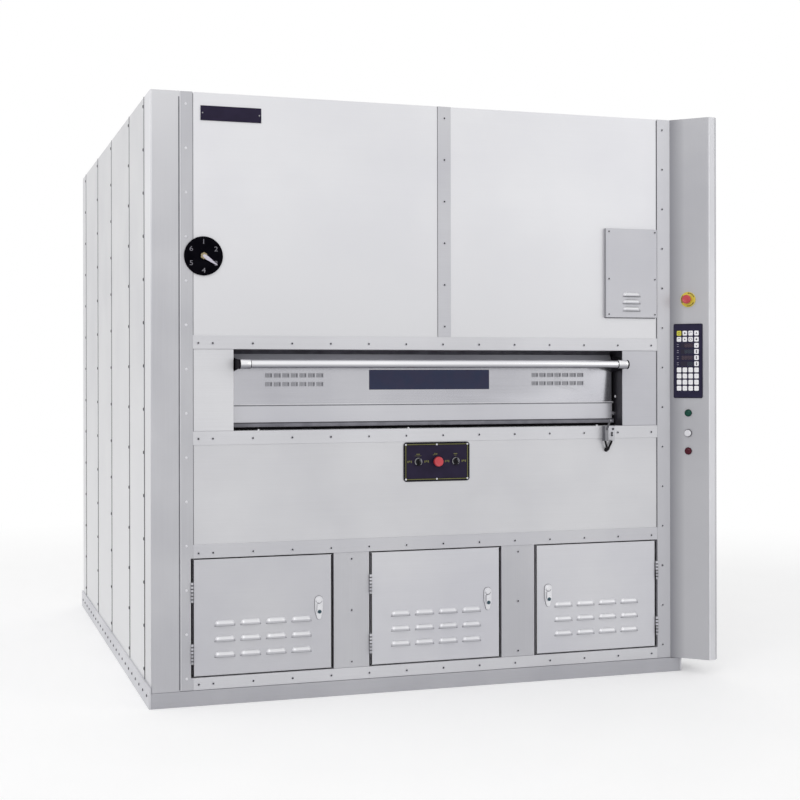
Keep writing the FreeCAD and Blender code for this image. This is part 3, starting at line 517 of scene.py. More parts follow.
def roundedBox(width, height, corner, middle=(0, 0), steps=4):
    points = []
    for cx, cy, start in ((1, 1, 0), (-1, 1, 90), (-1, -1, 180), (1, -1, 270)):
        centre = (middle[0] + cx * (width / 2 - corner), middle[1] + cy * (height / 2 - corner))
        points += arc(corner, start, start + 90, steps, centre)
    return points


def inked(shape, text, heightMm, place, index=0):
    # a plain printed figure, 0.2 mm thick, centred on the place
    curve = bpy.data.curves.new("figure", "FONT")
    curve.body = text
    curve.extrude = 0.5
    mesh = plainMesh(addObject("figure", curve))
    points = [v.co.copy() for v in mesh.vertices]
    low, high = Vector(map(min, *points)), Vector(map(max, *points))
    scale = heightMm * mm / (high.y - low.y)
    widen = 1.2
    for vert, point in zip(mesh.vertices, points):
        flat = (point - (low + high) / 2) * scale
        vert.co = place @ Vector((flat.x * widen, flat.y, 0.2 * mm if point.z > 0 else 0.0))
    start = len(shape.faces)
    shape.from_mesh(mesh)
    bpy.data.meshes.remove(mesh)
    shape.faces.ensure_lookup_table()
    for face in shape.faces[start:]:
        face.material_index = index


# Geometry Nodes: each tree puts one small form on every point of a layout

def openTree(name, **inputs):
    # inputs: kind of socket, and the labels of that kind
    tree = bpy.data.node_groups.new(name, "GeometryNodeTree")
    for kind, labels in {"Geometry": ("Geometry",), **inputs}.items():
        for label in labels:
            tree.interface.new_socket(label, in_out="INPUT", socket_type="NodeSocket" + kind)
    tree.interface.new_socket("Geometry", in_out="OUTPUT", socket_type="NodeSocketGeometry")
    return tree, addNode(tree, "NodeGroupInput")


def closeTree(tree, given, form, turns=None, marked=None):
    # a form on each point, made real and painted; the marked faces get the second material
    links = {"Points": (given, "Geometry"), "Instance": form}
    if turns:
        links["Rotation"] = turns
    placed = addNode(tree, "GeometryNodeInstanceOnPoints", {}, links)
    real = addNode(tree, "GeometryNodeRealizeInstances", {}, {0: placed})
    painted = addNode(tree, "GeometryNodeSetMaterial", {},
                      {"Geometry": real, "Material": (given, "Material")})
    if marked:
        chosen = addNode(tree, "GeometryNodeInputNamedAttribute", {"data_type": "BOOLEAN", "Name": marked})
        painted = addNode(tree, "GeometryNodeSetMaterial", {},
                          {"Geometry": painted, "Selection": chosen, "Material": (given, "Second Material")})
    addNode(tree, "NodeGroupOutput", {}, {0: painted})
    return tree


fastenerInputs = ("Head Radius", "Crown Radius", "Head Height", "Core Radius", "Core Depth", "Sides",
                  "Core Sides", "Material", "Second Material")


def fastenerTree():
    # a domed head with a dark core, as a blind rivet has; every one is turned a little differently
    tree, given = openTree("fastenersOnPoints", Float=fastenerInputs[:5], Int=fastenerInputs[5:7],
                           Material=fastenerInputs[7:])
    head = addNode(tree, "GeometryNodeMeshCone", {},
                   {"Vertices": (given, "Sides"), "Radius Top": (given, "Crown Radius"),
                    "Radius Bottom": (given, "Head Radius"), "Depth": (given, "Head Height")})
    core = addNode(tree, "GeometryNodeMeshCone", {},
                   {"Vertices": (given, "Core Sides"), "Radius Top": (given, "Core Radius"),
                    "Radius Bottom": (given, "Core Radius"), "Depth": (given, "Core Depth")})
    sunk = addNode(tree, "ShaderNodeMath", {"operation": "MULTIPLY", 1: -0.6}, {0: (given, "Core Depth")})
    lift = addNode(tree, "ShaderNodeMath", {"operation": "ADD"}, {0: (given, "Head Height"), 1: sunk})
    offset = addNode(tree, "ShaderNodeCombineXYZ", {}, {2: lift})
    raised = addNode(tree, "GeometryNodeTransform", {}, {"Geometry": core, "Translation": offset})
    marked = addNode(tree, "GeometryNodeStoreNamedAttribute",
                     {"data_type": "BOOLEAN", "domain": "FACE", "Name": "isCore"}, {"Geometry": raised})
    marked.inputs["Value"].default_value = True
    fastener = addNode(tree, "GeometryNodeJoinGeometry", {}, {0: head})
    tree.links.new(marked.outputs[0], fastener.inputs[0])
    way = addNode(tree, "GeometryNodeInputNamedAttribute", {"data_type": "FLOAT_VECTOR", "Name": "facing"})
    stood = addNode(tree, "FunctionNodeAlignRotationToVector", {"axis": "Z"}, {"Vector": way})
    angle = addNode(tree, "FunctionNodeRandomValue", {"data_type": "FLOAT", 2: 0.0, 3: 6.283, "Seed": 7})
    spin = addNode(tree, "FunctionNodeAxisAngleToRotation", {"Axis": (0, 0, 1)}, {"Angle": (angle, 1)})
    turns = addNode(tree, "FunctionNodeRotateRotation", {"rotation_space": "LOCAL"},
                    {"Rotation": stood, "Rotate By": spin})
    return closeTree(tree, given, fastener, turns, "isCore")


def hoodTree():
    # a pressed louvre hood: a quarter ellipse from the top edge to the lip, closed at its slanted ends
    sizes = ("Length", "Height", "Depth", "End Slope", "Sheet")
    tree, given = openTree("hoodsOnPoints", Float=sizes, Material=("Material", "Second Material"))
    block = addNode(tree, "GeometryNodeMeshCube",
                    {"Size": (2, 2, 2), "Vertices X": 15, "Vertices Y": 2, "Vertices Z": 7})
    axes = addNode(tree, "ShaderNodeSeparateXYZ", {}, {0: addNode(tree, "GeometryNodeInputPosition")})
    known = {"u": (axes, 0), "w": (axes, 1), "v": (axes, 2), **{label: (given, label) for label in sizes}}
    rows = (  # u runs along the hood, v up it and w from its skin inwards, each from -1 to 1
        ("liftTwice", "ADD", "v", 1.0), ("lift", "MULTIPLY", "liftTwice", 0.5),
        ("insideTwice", "ADD", "w", 1.0), ("inside", "MULTIPLY", "insideTwice", 0.5),
        ("thin", "MULTIPLY", "inside", "Sheet"), ("liftSquare", "MULTIPLY", "lift", "lift"),
        ("slant", "MULTIPLY", "liftSquare", "End Slope"),
        ("halfLength", "MULTIPLY", "Length", 0.5), ("innerLength", "SUBTRACT", "halfLength", "thin"),
        ("reach", "SUBTRACT", "innerLength", "slant"), ("across", "MULTIPLY", "u", "reach"),
        ("riseSquare", "SUBTRACT", 1.0, "liftSquare"),
        ("rise", "SQRT", "riseSquare", 0.0), ("size", "ABSOLUTE", "u", 0.0), ("steep", "POWER", "size", 6.0),
        ("endSquare", "SUBTRACT", 1.0, "steep"), ("ends", "SQRT", "endSquare", 0.0),
        ("share", "MULTIPLY", "rise", "ends"), ("deep", "SUBTRACT", "Depth", "thin"),
        ("proud", "MULTIPLY", "deep", "share"), ("out", "SUBTRACT", 0.3 * mm, "proud"),
        ("halfHeight", "MULTIPLY", "Height", 0.5), ("upward", "MULTIPLY", "v", "halfHeight"),
        ("tuck", "MULTIPLY", "thin", "lift"), ("high", "SUBTRACT", "upward", "tuck"),
    )
    for label, operation, *terms in rows:
        values = {i: term for i, term in enumerate(terms) if not isinstance(term, str)}
        sources = {i: known[term] for i, term in enumerate(terms) if isinstance(term, str)}
        known[label] = (addNode(tree, "ShaderNodeMath", {"operation": operation, **values}, sources), 0)
    target = addNode(tree, "ShaderNodeCombineXYZ", {},
                     {0: known["across"], 1: known["out"], 2: known["high"]})
    # the hood's lower rows are marked for the second finish, painted shade on its foot
    foot = addNode(tree, "FunctionNodeCompare", {"data_type": "FLOAT", "operation": "LESS_THAN", "B": -0.3},
                   {"A": (axes, 2)})
    marked = addNode(tree, "GeometryNodeStoreNamedAttribute",
                     {"data_type": "BOOLEAN", "domain": "FACE", "Name": "isShadedFoot"},
                     {"Geometry": block, "Value": foot})
    bent = addNode(tree, "GeometryNodeSetPosition", {}, {"Geometry": marked, "Position": target})
    return closeTree(tree, given, bent, marked="isShadedFoot")


def keyTree():
    # a rounded key that stands on the XY plane: a straight foot and a narrower top
    sizes = ("Width", "Height", "Corner", "Foot", "Crown", "Crown Share")
    tree, given = openTree("keysOnPoints", Float=sizes, Material=("Material",))
    outline = addNode(tree, "GeometryNodeCurvePrimitiveQuadrilateral", {},
                      {"Width": (given, "Width"), "Height": (given, "Height")})
    rounded = addNode(tree, "GeometryNodeFilletCurve", {"mode": "POLY", "Count": 3},
                      {"Curve": outline, "Radius": (given, "Corner")})
    face = addNode(tree, "GeometryNodeFillCurve", {"mode": "NGONS"}, {"Curve": rounded})
    foot = addNode(tree, "GeometryNodeExtrudeMesh", {"mode": "FACES", "Individual": False},
                   {"Mesh": face, "Offset Scale": (given, "Foot")})
    crown = addNode(tree, "GeometryNodeExtrudeMesh", {"mode": "FACES", "Individual": False},
                    {"Mesh": foot, "Selection": (foot, "Top"), "Offset Scale": (given, "Crown")})
    drawn = addNode(tree, "GeometryNodeScaleElements", {"domain": "FACE"},
                    {"Geometry": crown, "Selection": (crown, "Top"), "Scale": (given, "Crown Share")})
    under = addNode(tree, "GeometryNodeFlipFaces", {}, {"Mesh": face})
    both = addNode(tree, "GeometryNodeJoinGeometry", {}, {0: drawn})
    tree.links.new(under.outputs[0], both.inputs[0])
    return closeTree(tree, given, addNode(tree, "GeometryNodeMergeByDistance", {"Distance": 0.01 * mm},
                                          {"Geometry": both}))


fasteners, hoods, keys = fastenerTree(), hoodTree(), keyTree()


def grow(name, tree, points, body, inputs, facings=None, place=None, smoothAngle=30):
    # runs a tree on a layout of points and keeps the result as one plain mesh
    layout = bpy.data.meshes.new(name + "Layout")
    layout.from_pydata([tuple(p) for p in points], [], [])
    if facings:
        normals = layout.attributes.new("facing", "FLOAT_VECTOR", "POINT")
        normals.data.foreach_set("vector", [c for f in facings for c in f])
    holder = addObject(name + "Layout", layout)
    modifier = holder.modifiers.new("grow", "NODES")
    modifier.node_group = tree
    identifiers = {item.name: item.identifier for item in tree.interface.items_tree if item.in_out == "INPUT"}
    for label, value in inputs.items():
        modifier[identifiers[label]] = finish[value] if isinstance(value, str) else value
    mesh = plainMesh(holder, preserve_all_data_layers=True)
    if place:
        mesh.transform(place)
    mesh.name = name
    kept = [material for material in mesh.materials if material]  # the tree leaves an empty first slot
    indices = [kept.index(mesh.materials[face.material_index]) for face in mesh.polygons]
    mesh.materials.clear()
    for material in kept:
        mesh.materials.append(material)
    for face, index in zip(mesh.polygons, indices):
        face.use_smooth = True
        face.material_index = index
    mesh.set_sharp_from_angle(angle=math.radians(smoothAngle))
    placeMesh(mesh, name, body)


fastenerLook = {  # radius of head and crown, height, radius and depth of the core (mm), sides, finishes
    "sillScrews": (4.4, 3.0, 5.0, 0.9, 0.5, 12, 6, "whiteAbs", "whiteAbs"),
    "jambScrew": (5.0, 3.4, 2.5, 1.0, 0.5, 12, 6, "whiteAbs", "whiteAbs"),
    "namePlateScrews": (2.6, 1.8, 0.9, 0.8, 0.3, 12, 6, "brightZincSteel", "shadowedHole"),
    "controlPlateScrews": (3.7, 2.4, 1.7, 0.9, 0.3, 16, 6, "whiteAbs", "paleRivetSteel"),
    # the front rivets' dark cores are drawn wider than a rivet's hole, partly as painted shade under the lit
    # heads
    "frontRivets": (5.8, 4.3, 2.4, 3.5, 0.8, 14, 8, "paleRivetSteel", "shadowedHole"),
    # the left strip's white heads are painted highlights
    "leftStripRivets": (5.0, 3.2, 2.4, 1.2, 0.8, 14, 8, "whiteAbs", "paleRivetSteel"),
    "switchScrews": (4.6, 3.4, 2.4, 3.5, 0.8, 14, 8, "darkGreyAbs", "shadowedHole"),
    "wallRivets": (7.0, 5.4, 2.6, 4.4, 0.8, 14, 8, "darkGreyAbs", "shadowedHole"),
    "skirtRivets": (5.8, 4.3, 2.4, 3.5, 0.8, 14, 8, "darkGreyAbs", "shadowedHole"),
}


def fasten(name, points, facings):
    values = [value * mm if isinstance(value, float) else value for value in fastenerLook[name]]
    grow(name, fasteners, points, "housing", dict(zip(fastenerInputs, values)), facings)


# camera, light and floor

cameraLook = {"place": (-1.77656, -6.29641, 1.18152), "yaw": -0.3146, "roll": 0.0017, "lens": 64.25,
              "sensor": 36.0, "shiftY": -0.0303, "clipEnd": 60.0}
cameraData = bpy.data.cameras.new("camera")
cameraData.lens = cameraLook["lens"]
cameraData.sensor_width = cameraLook["sensor"]
cameraData.shift_y = cameraLook["shiftY"]
cameraData.clip_end = cameraLook["clipEnd"]
camera = addObject("camera", cameraData)
camera.location = cameraLook["place"]
camera.rotation_euler = (math.pi / 2, cameraLook["roll"], cameraLook["yaw"])
bpy.context.scene.camera = camera
bpy.context.scene.view_settings.view_transform = "Standard"

studio = {
    "ambient": 0.66, "aim": (0, 0, 1.1),
    "lamps": {  # place, size in m, power in W
        "keyLamp": ((-3.6, -6.8, 4.6), 4.6, 105),
        "fillLamp": ((4.8, -5.6, 3.0), 4.0, 30),
        "sideLamp": ((-7.0, 1.0, 3.2), 4.5, 60),
        "rearLamp": ((3.5, 7.0, 4.2), 4.5, 70),
    },
    "floorTones": ("#f4f4f4", "#f0f0f0"), "floorGlow": 0.24, "floorHalf": 40,
    "clearFrom": 3.2, "clearTo": 5.5,  # how far from the middle the floor passes into plain white, in m
}


def shownRays(tree):
    # 1 for the rays that show the background, straight, mirrored or through glass
    rays = addNode(tree, "ShaderNodeLightPath")
    shown = (rays, "Is Camera Ray")
    for kind in ("Is Glossy Ray", "Is Transmission Ray"):
        shown = addNode(tree, "ShaderNodeMath", {"operation": "MAXIMUM"}, {0: shown, 1: (rays, kind)})
    return shown


world = bpy.data.worlds.new("studio")
bpy.context.scene.world = world
worldTree = clearedTree(world)
ambient = addNode(worldTree, "ShaderNodeBackground", {"Color": (1, 1, 1, 1), "Strength": studio["ambient"]})
white = addNode(worldTree, "ShaderNodeBackground", {"Color": (1, 1, 1, 1), "Strength": 1.0})
sky = addNode(worldTree, "ShaderNodeMixShader", {}, {0: shownRays(worldTree), 1: ambient, 2: white})
addNode(worldTree, "ShaderNodeOutputWorld", {}, {"Surface": sky})
for lampName, (place, size, power) in studio["lamps"].items():
    lampData = bpy.data.lights.new(lampName, "AREA")
    lampData.shape = "SQUARE"
    lampData.size = size
    lampData.energy = power
    lamp = addObject(lampName, lampData)
    lamp.location = place
    lamp.rotation_euler = (Vector(studio["aim"]) - Vector(place)).to_track_quat("-Z", "Y").to_euler()

floorMaterial = bpy.data.materials.new("paleStudioFloor")  # painted board: carries the shadow, else white
floorTree = clearedTree(floorMaterial)
place = addNode(floorTree, "ShaderNodeTexCoord")
patches = addNode(floorTree, "ShaderNodeTexNoise", {"Scale": 3.0}, {"Vector": (place, "Object")})
tones = dict(zip((6, 7), map(linear, studio["floorTones"])))
tone = addNode(floorTree, "ShaderNodeMix", {"data_type": "RGBA", **tones}, {0: patches})
diffuse = addNode(floorTree, "ShaderNodeBsdfDiffuse", {}, {"Color": (tone, 2)})
glow = addNode(floorTree, "ShaderNodeEmission", {"Strength": studio["floorGlow"]})
near = addNode(floorTree, "ShaderNodeAddShader", {}, {0: diffuse, 1: glow})
far = addNode(floorTree, "ShaderNodeEmission", {"Strength": 1.0})
distance = addNode(floorTree, "ShaderNodeVectorMath", {"operation": "LENGTH"}, {0: (place, "Object")})
share = addNode(floorTree, "ShaderNodeMapRange", {1: studio["clearFrom"], 2: studio["clearTo"]},
                {0: (distance, "Value")})
board = addNode(floorTree, "ShaderNodeMixShader", {}, {0: share, 1: near, 2: far})
surface = addNode(floorTree, "ShaderNodeMixShader", {}, {0: shownRays(floorTree), 1: diffuse, 2: board})
addNode(floorTree, "ShaderNodeOutputMaterial", {}, {"Surface": surface})
half = studio["floorHalf"]
floorMesh = bpy.data.meshes.new("floor")
corners = [(-half, -half, 0), (half, -half, 0), (half, half, 0), (-half, half, 0)]
floorMesh.from_pydata(corners, [], [(0, 1, 2, 3)])
floorMesh.materials.append(floorMaterial)
floor = addObject("floor", floorMesh)
print("camera, lamps and floor placed")


# sheet metal: every folded sheet keeps its CAD shape with softened edges

# faces that look left take the second finish: painted light on the corner post's side, painted shade on the
# batten's and the vent cover's sides
def leftEdgeApart(centre, normal):
    return int(normal.x < -0.8)


def stripSides(centre, normal):
    if centre.x < 0:
        return 3 * leftEdgeApart(centre, normal)
    return 2 - leftEdgeApart(centre, normal)


def lintelFirst(centre, normal):
    return int(normal.z < -0.5)


def mouthSides(centre, normal):
    return int(centre.x > 0)


# the bands are one steel; the door band takes painted shade and the foot band painted light
def bandRows(centre, normal):
    return 0 if centre.z > 0.7 else 1 if centre.z > 0.3 else 2


def consoleSides(centre, normal):
    return int(normal.y < -0.9 or normal.x > 0.9)


def widerLip(point):
    # the console's front fold stands a little further along its slanted face, as the photo has it
    lip = Vector((5.7, -5.7, 0)) * mm
    if point.y < at(0, -100, 0).y:
        return point + lip
    return point + Vector((lip.x, 0, 0)) if point.x > at(2190, 0, 0).x else point


sheets = {  # node: finishes, edge radius in mm, how a face picks its finish, what moves its points
    "base_plinth": (("satinStainlessPlinth",), 1.5),
    "side_skirts": (("satinStainlessSkirt",), 1.2),
    "left_wall_panels": (("whitePowderCoat",), 1.5),
    "right_wall_panels": (("whitePowderCoat",), 1.5),
    "rear_wall_panels": (("whitePowderCoat",), 1.5),
    "roof_panels": (("whitePowderCoat",), 1.5),
    "chamber_floor": (("heatTintedSteel",), 1.5),
    "left_corner_post": (("satinStainlessPost", "satinStainlessUpper"), 1.5, leftEdgeApart),
    "right_corner_post": (("paleGreyPowderCoat",), 1.5),
    "upper_left_panel": (("satinStainlessUpper",), 1.2),
    "upper_right_panel": (("satinStainlessUpper",), 1.2),
    "mouth_side_panels": (("satinStainlessMouth", "shadedStainlessMouth"), 1.5, mouthSides),
    "mouth_jambs": (("darkJambSteel", "footFoldSteel"), 1.0, lintelFirst),
    "mouth_threshold": (("heatTintedSteel",), 1.0),
    "middle_front_panel": (("satinStainlessMiddle",), 1.2),
    "service_posts": (("satinStainlessPost",), 1.2),
    "base_rail": (("satinStainlessBand",), 1.2),
    "upright_strips": (("satinStainlessStrip", "shadedSheetEdge", "paleStainlessStrip",
                        "brightStainlessFold"), 0.6, stripSides),
    "centre_batten": (("shadedStainlessBand", "softSheetEdge"), 0.6, leftEdgeApart),
    "cross_bands": (("satinStainlessBand", "shadedStainlessBand", "paleStainlessBand"), 0.8, bandRows),
    "name_plate": (("navyPrintedPlate",), 0.8),
    "control_plate": (("blackPrintedRim",), 0.6),
    "keypad_panel": (("navyKeypadFilm",), 0.6),
    "door_arms": (("blackEnamel",), 1.0),
    "main_door_window": (("navyWindowGlass",), 0.8),
    "console_column": (("greyPowderCoat", "paleGreyPowderCoat"), 1.5, consoleSides, widerLip),
}
for nodeName, (materials, radius, *ways) in sheets.items():
    dress(nodeName, materials, radius, 0.0, *ways)
print("sheets dressed:", len(sheets))


# louvred sheets: the CAD pressing is drawn in a little, under a smooth hood

hoodLook = {"sheet": 0.8, "top": "pressedHoodSteel", "foot": "shadedHoodFoot", "slotDepth": 2.1,
            "narrow": 0.97, "flatten": 0.8, "lipDrop": 0.9, "lipHeight": 3.0, "lipGrown": 1.5}
louvreLook = {"length": 76.0, "height": 19.5, "depth": 9.8, "slope": 8.5, "margin": 77.5, "columns": 4,
              "rows": 3, "firstRow": 75.5, "rowPitch": 56.0, "leafWidth": 515.2,
              "steel": {"left": "satinStainlessDoor", "middle": "paleStainlessDoor",
                        "right": "paleStainlessDoor"},
              "sealIn": 1.4, "sealWidth": 3.2, "knuckleAxis": {"left": 3.75, "middle": 3.75, "right": 3.7},
              "knuckleFeet": (150.0, 371.0), "knuckleJoints": (11.0, 23.5, 36.0, 48.5, 61.0),
              "joint": plain([(4.2, -2.4), (4.9, -2.4), (4.9, 2.4), (4.2, 2.4), (4.2, -2.4)])}
coverLook = {"length": 77.0, "height": 17.0, "depth": 9.8, "slope": 8.5, "firstRow": 35.0, "rowPitch": 28.4,
             "rows": 3}


def sunkHoods(centres, look, face):
    # the copy's own pressings keep their slots, and lie just under the smooth hoods
    def mould(point):
        for centre in centres:
            away = (point - centre) / mm
            if (abs(away.x) < look["length"] / 2 + 1 and abs(away.z) < look["height"] / 2 + 1
                    and away.y < hoodLook["slotDepth"]):
                lift = min(max(away.z / look["height"] + 0.5, 0.0), 1.0)
                narrow = hoodLook["narrow"] - 2 * look["slope"] / look["length"] * lift
                depth = face + (point.y - face) * (hoodLook["flatten"] if point.y < face else 1.0)
                return Vector((centre.x + (point.x - centre.x) * narrow, depth, point.z))
        return point
    return mould


def makeHoods(names, centres, look, body):
    # the hoods, and a painted shadow line under each one's lip, where it stands off the sheet
    sizes = {"Length": look["length"], "Height": look["height"], "Depth": look["depth"],
             "End Slope": look["slope"], "Sheet": hoodLook["sheet"]}
    inputs = {label: size * mm for label, size in sizes.items()}
    inputs.update({"Material": hoodLook["top"], "Second Material": hoodLook["foot"]})
    grow(names[0], hoods, centres, body, inputs, smoothAngle=50)
    shape = bmesh.new()
    for centre in centres:
        foot = centre - up * (look["height"] / 2 + hoodLook["lipDrop"]) * mm
        outline = roundedBox(look["length"] + hoodLook["lipGrown"], hoodLook["lipHeight"], 1.2, steps=1)
        slab(shape, facing(foot), outline, -0.2, 0.35)
    finishMesh(shape, names[1], body, ("louvreLipShade",))


sides = ("left", "middle", "right")
for side in sides:
    door = f"service_door_{side}"
    low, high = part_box(door)
    leafWidth = louvreLook["leafWidth"] * mm
    start = low.x if side == "right" else high.x - leafWidth
    end = start + leafWidth
    first = start + (louvreLook["margin"] + louvreLook["length"] / 2) * mm
    last = start + (louvreLook["leafWidth"] - louvreLook["margin"] - louvreLook["length"] / 2) * mm
    centres = []
    for column in range(louvreLook["columns"]):
        x = first + (last - first) * column / (louvreLook["columns"] - 1)
        for row in range(louvreLook["rows"]):
            height = low.z + (louvreLook["firstRow"] + row * louvreLook["rowPitch"]) * mm
            centres.append(Vector((x, frontPlane, height)))
    dress(door, (louvreLook["steel"][side],), 0.9, 60, mould=sunkHoods(centres, louvreLook, frontPlane))
    makeHoods((f"serviceDoorHoods_{side}", f"serviceDoorLipShadows_{side}"), centres, louvreLook, door)
    trimShape = bmesh.new()  # dark seal along both upright edges of the leaf
    for x in (start + louvreLook["sealIn"] * mm, end - louvreLook["sealIn"] * mm):
        slab(trimShape, facing(Vector((x, frontPlane, (low.z + high.z) / 2))),
             roundedBox(louvreLook["sealWidth"], (high.z - low.z) / mm - 1.6, 0.6, steps=1), -0.2, 0.6)
    finishMesh(trimShape, f"serviceDoorSeal_{side}", door, ("blackDoorSeal",))
    jointShape = bmesh.new()  # dark joints between the knuckles of the hinges
    away = louvreLook["knuckleAxis"][side] * mm
    hingeX = end + away if side == "right" else start - away
    for foot in louvreLook["knuckleFeet"]:
        for rise in louvreLook["knuckleJoints"]:
            middle = Matrix.Translation(Vector((hingeX, frontPlane - 7 * mm, (foot + rise) * mm)))
            turned(jointShape, middle, louvreLook["joint"], 20)
    finishMesh(jointShape, f"hingeJoints_{side}", "housing", ("darkGreyAbs",), 30)

coverLow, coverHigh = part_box("vent_cover")
coverFace = at(0, -15, 0).y
centres = [Vector(((coverLow.x + coverHigh.x) / 2, coverFace,
                   coverLow.z + (coverLook["firstRow"] + row * coverLook["rowPitch"]) * mm))
           for row in range(coverLook["rows"])]
dress("vent_cover", ("satinStainlessCover", "softSheetEdge"), 0.8, 100, leftEdgeApart,
      sunkHoods(centres, coverLook, coverFace))
makeHoods(("ventCoverHoods", "ventCoverLipShadows"), centres, coverLook, "housing")
print("louvred sheets made")


# main door: a polished section with small punched vents, a bar and the seal under it

ventLook = {"blocks": 7, "pitch": 32.5, "width": 27.0, "rise": 4.0, "rows": (141.0, 173.5),
            "insets": (121.0, 124.5),
            "holes": (  # along the block, width, height and finish of its three slots and of the painted shadow at its open end
                (3.5, 1.6, 13.0, 0), (8.5, 1.6, 13.0, 0), (13.5, 1.6, 13.0, 0), (22.6, 5.4, 14.6, 1))}
leafLook = {"topSlope": 22, "rail": 60, "ventsFrom": 100, "foldLength": 1549,
            "fold": ((3.4, 1.4, 1.2, 0), (3.0, 5.4, 0.8, 1))}  # height, rise, thickness and finish
leafFace = at(0, 70, 0).y
leafLow, leafHigh = at(310, 66, 1010), at(1843, 110, 1263)
groupWidth = (ventLook["blocks"] - 1) * ventLook["pitch"] + ventLook["width"]
ventStarts = (leafLow.x / mm + ventLook["insets"][0], leafHigh.x / mm - ventLook["insets"][1] - groupWidth)


def leafPaint(centre, normal):
    if centre.z > leafHigh.z - leafLook["topSlope"] * mm:  # the slope along the top
        if centre.y > leafFace + 0.5 * mm and normal.y < -0.3:
            return 1
    if centre.z < leafLow.z + leafLook["rail"] * mm:
        return 3  # the lower rail
    return 2 if centre.y < leafFace - 0.3 * mm and centre.z > leafLow.z + leafLook["ventsFrom"] * mm else 0


dress("main_door_leaf", ("mirrorStainlessLeaf", "bevelledLeafTop", "punchedVentSteel", "railStainless"),
      0.8, 60, leafPaint)
foldShape = bmesh.new()  # the rail's top fold: a painted shadow line under a painted highlight
foldPlace = facing(Vector(((leafLow.x + leafHigh.x) / 2, leafFace, leafLow.z + (leafLook["rail"] + 1) * mm)))
for tall, rise, thick, index in leafLook["fold"]:
    slab(foldShape, foldPlace, roundedBox(leafLook["foldLength"], tall, 1, (0, rise), 1), -0.2, thick, index)
finishMesh(foldShape, "doorRailShadowAndHighlight", "main_door", ("softVentShadow", "paleStainlessBand"))
ventShape = bmesh.new()
for start in ventStarts:
    for rise in ventLook["rows"]:
        for block in range(ventLook["blocks"]):
            for along, width, height, index in ventLook["holes"]:
                depth = ventLook["rise"] * along / ventLook["width"]
                x = (start + block * ventLook["pitch"] + along) * mm
                place = facing(Vector((x, leafFace - depth * mm, leafLow.z + rise * mm)))
                slab(ventShape, place, roundedBox(width, height, width * 0.4, steps=1), -0.6, 0.5, index)
finishMesh(ventShape, "doorVentSlots", "main_door", ("softVentShadow", "louvreLipShade"))

barLook = {"radius": 14.0, "groove": 12.8, "collarEnd": 40.0, "segments": 56}
barLow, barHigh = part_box("handle_bar")
barLength = (barHigh.x - barLow.x) / mm
barShape = bmesh.new()
barPlace = planeFrame(Vector((barLow.x, middleOf("handle_bar").y, barHeight)), Vector((0, 1, 0)), toRight)
collarEnd = barLook["collarEnd"]
half = [(0, 0, 1), (15.8, 0, 1), (17.0, 1.2, 0), (17.0, collarEnd - 3, 0), (16.2, collarEnd - 1.6, 1),
        (barLook["groove"], collarEnd - 1.4, 1), (barLook["groove"], collarEnd + 0.4, 0),
        (barLook["radius"], collarEnd + 1.2, 0)]
other = [(radius, barLength - height, int(row in (1, 2, 5, 6)))  # the same collar at the far end
         for row, (radius, height, _) in enumerate(reversed(half))]
turned(barShape, barPlace, half + other, barLook["segments"])
finishMesh(barShape, "handleBarChrome", "main_door", ("polishedBarChrome", "blackEnamel"), 35,
           ("handle_bar",))

sealLook = {"across": 1078, "thick": 3,
            "strips": (  # folded foot under the leaf, its edge, the black seal and the brush over the leaf:
                # depth and height of the middle, width, height and corner
                (70, 1000, 1546, 15, 2), (69, 1008, 1546, 2.6, 1), (66, 989, 1546, 9, 2),
                (116, 1266, 1554, 25, 2)),
            "sillScrews": ((392, 3, 983), (966, 3, 983), (1746, 3, 983)),
            "jambScrew": (62, 1098), "jambIn": 12}
sealShape = bmesh.new()
for index, (deep, high, *size) in enumerate(sealLook["strips"]):
    place = facing(at(sealLook["across"], deep, high))
    slab(sealShape, place, roundedBox(*size), 0, sealLook["thick"], index)
finishMesh(sealShape, "doorFootSeal", "housing",
           ("footFoldSteel", "darkGreyAbs", "blackDoorSeal", "greyBrushSeal"))
fasten("sillScrews", [at(*spot) for spot in sealLook["sillScrews"]], [up] * len(sealLook["sillScrews"]))
jambScrew = at(0, *sealLook["jambScrew"])
jambScrew.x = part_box("mouth_jambs")[1].x - sealLook["jambIn"] * mm
fasten("jambScrew", [jambScrew], [-toRight])
print("main door made")


# dial, pointer and name plate

dialLook = {"centre": (190.5, -3, 1612.5), "figures": 6, "figure": 17.0, "figureRadius": 51.5, "face": 5.4,
            "disc": plain([(0, 0), (70, 0), (70, 4.8), (69.2, 5.7), (68, 6), (64.5, 6), (63.8, 5.4),
                           (0, 5.4)]),
            "angle": -33.0, "stand": 7.5, "hubCorner": 13.2, "hubHeight": 8.6, "hubRim": 1.6,
            "stem": plain([(0, -4.5), (4, -4.5), (4, 0.2), (0, 0.2)], 1), "screwIn": 7,
            "blade": (  # place along the pointer, half width, height of its sides and of its ridge
                (-4, 3.4, 8.9, 10.6), (6, 6.6, 8.9, 11.0), (14, 7.2, 5.0, 9.4), (54, 2.4, 1.2, 3.2),
                (59, 0.8, 0.8, 1.6))}
dialCentre = at(*dialLook["centre"])
dialPlace = facing(dialCentre)
dialShape = bmesh.new()
turned(dialShape, dialPlace, dialLook["disc"], 96)
for figure in range(dialLook["figures"]):
    turn = math.radians(90 - 360 / dialLook["figures"] * figure)
    radius = dialLook["figureRadius"]
    spot = shifted(dialPlace, radius * math.cos(turn), radius * math.sin(turn), dialLook["face"])
    inked(dialShape, str(figure + 1), dialLook["figure"], spot, 1)
finishMesh(dialShape, "dialDisc", "housing", ("blackDialEnamel", "greyDialInk"), 30, ("dial_face",))

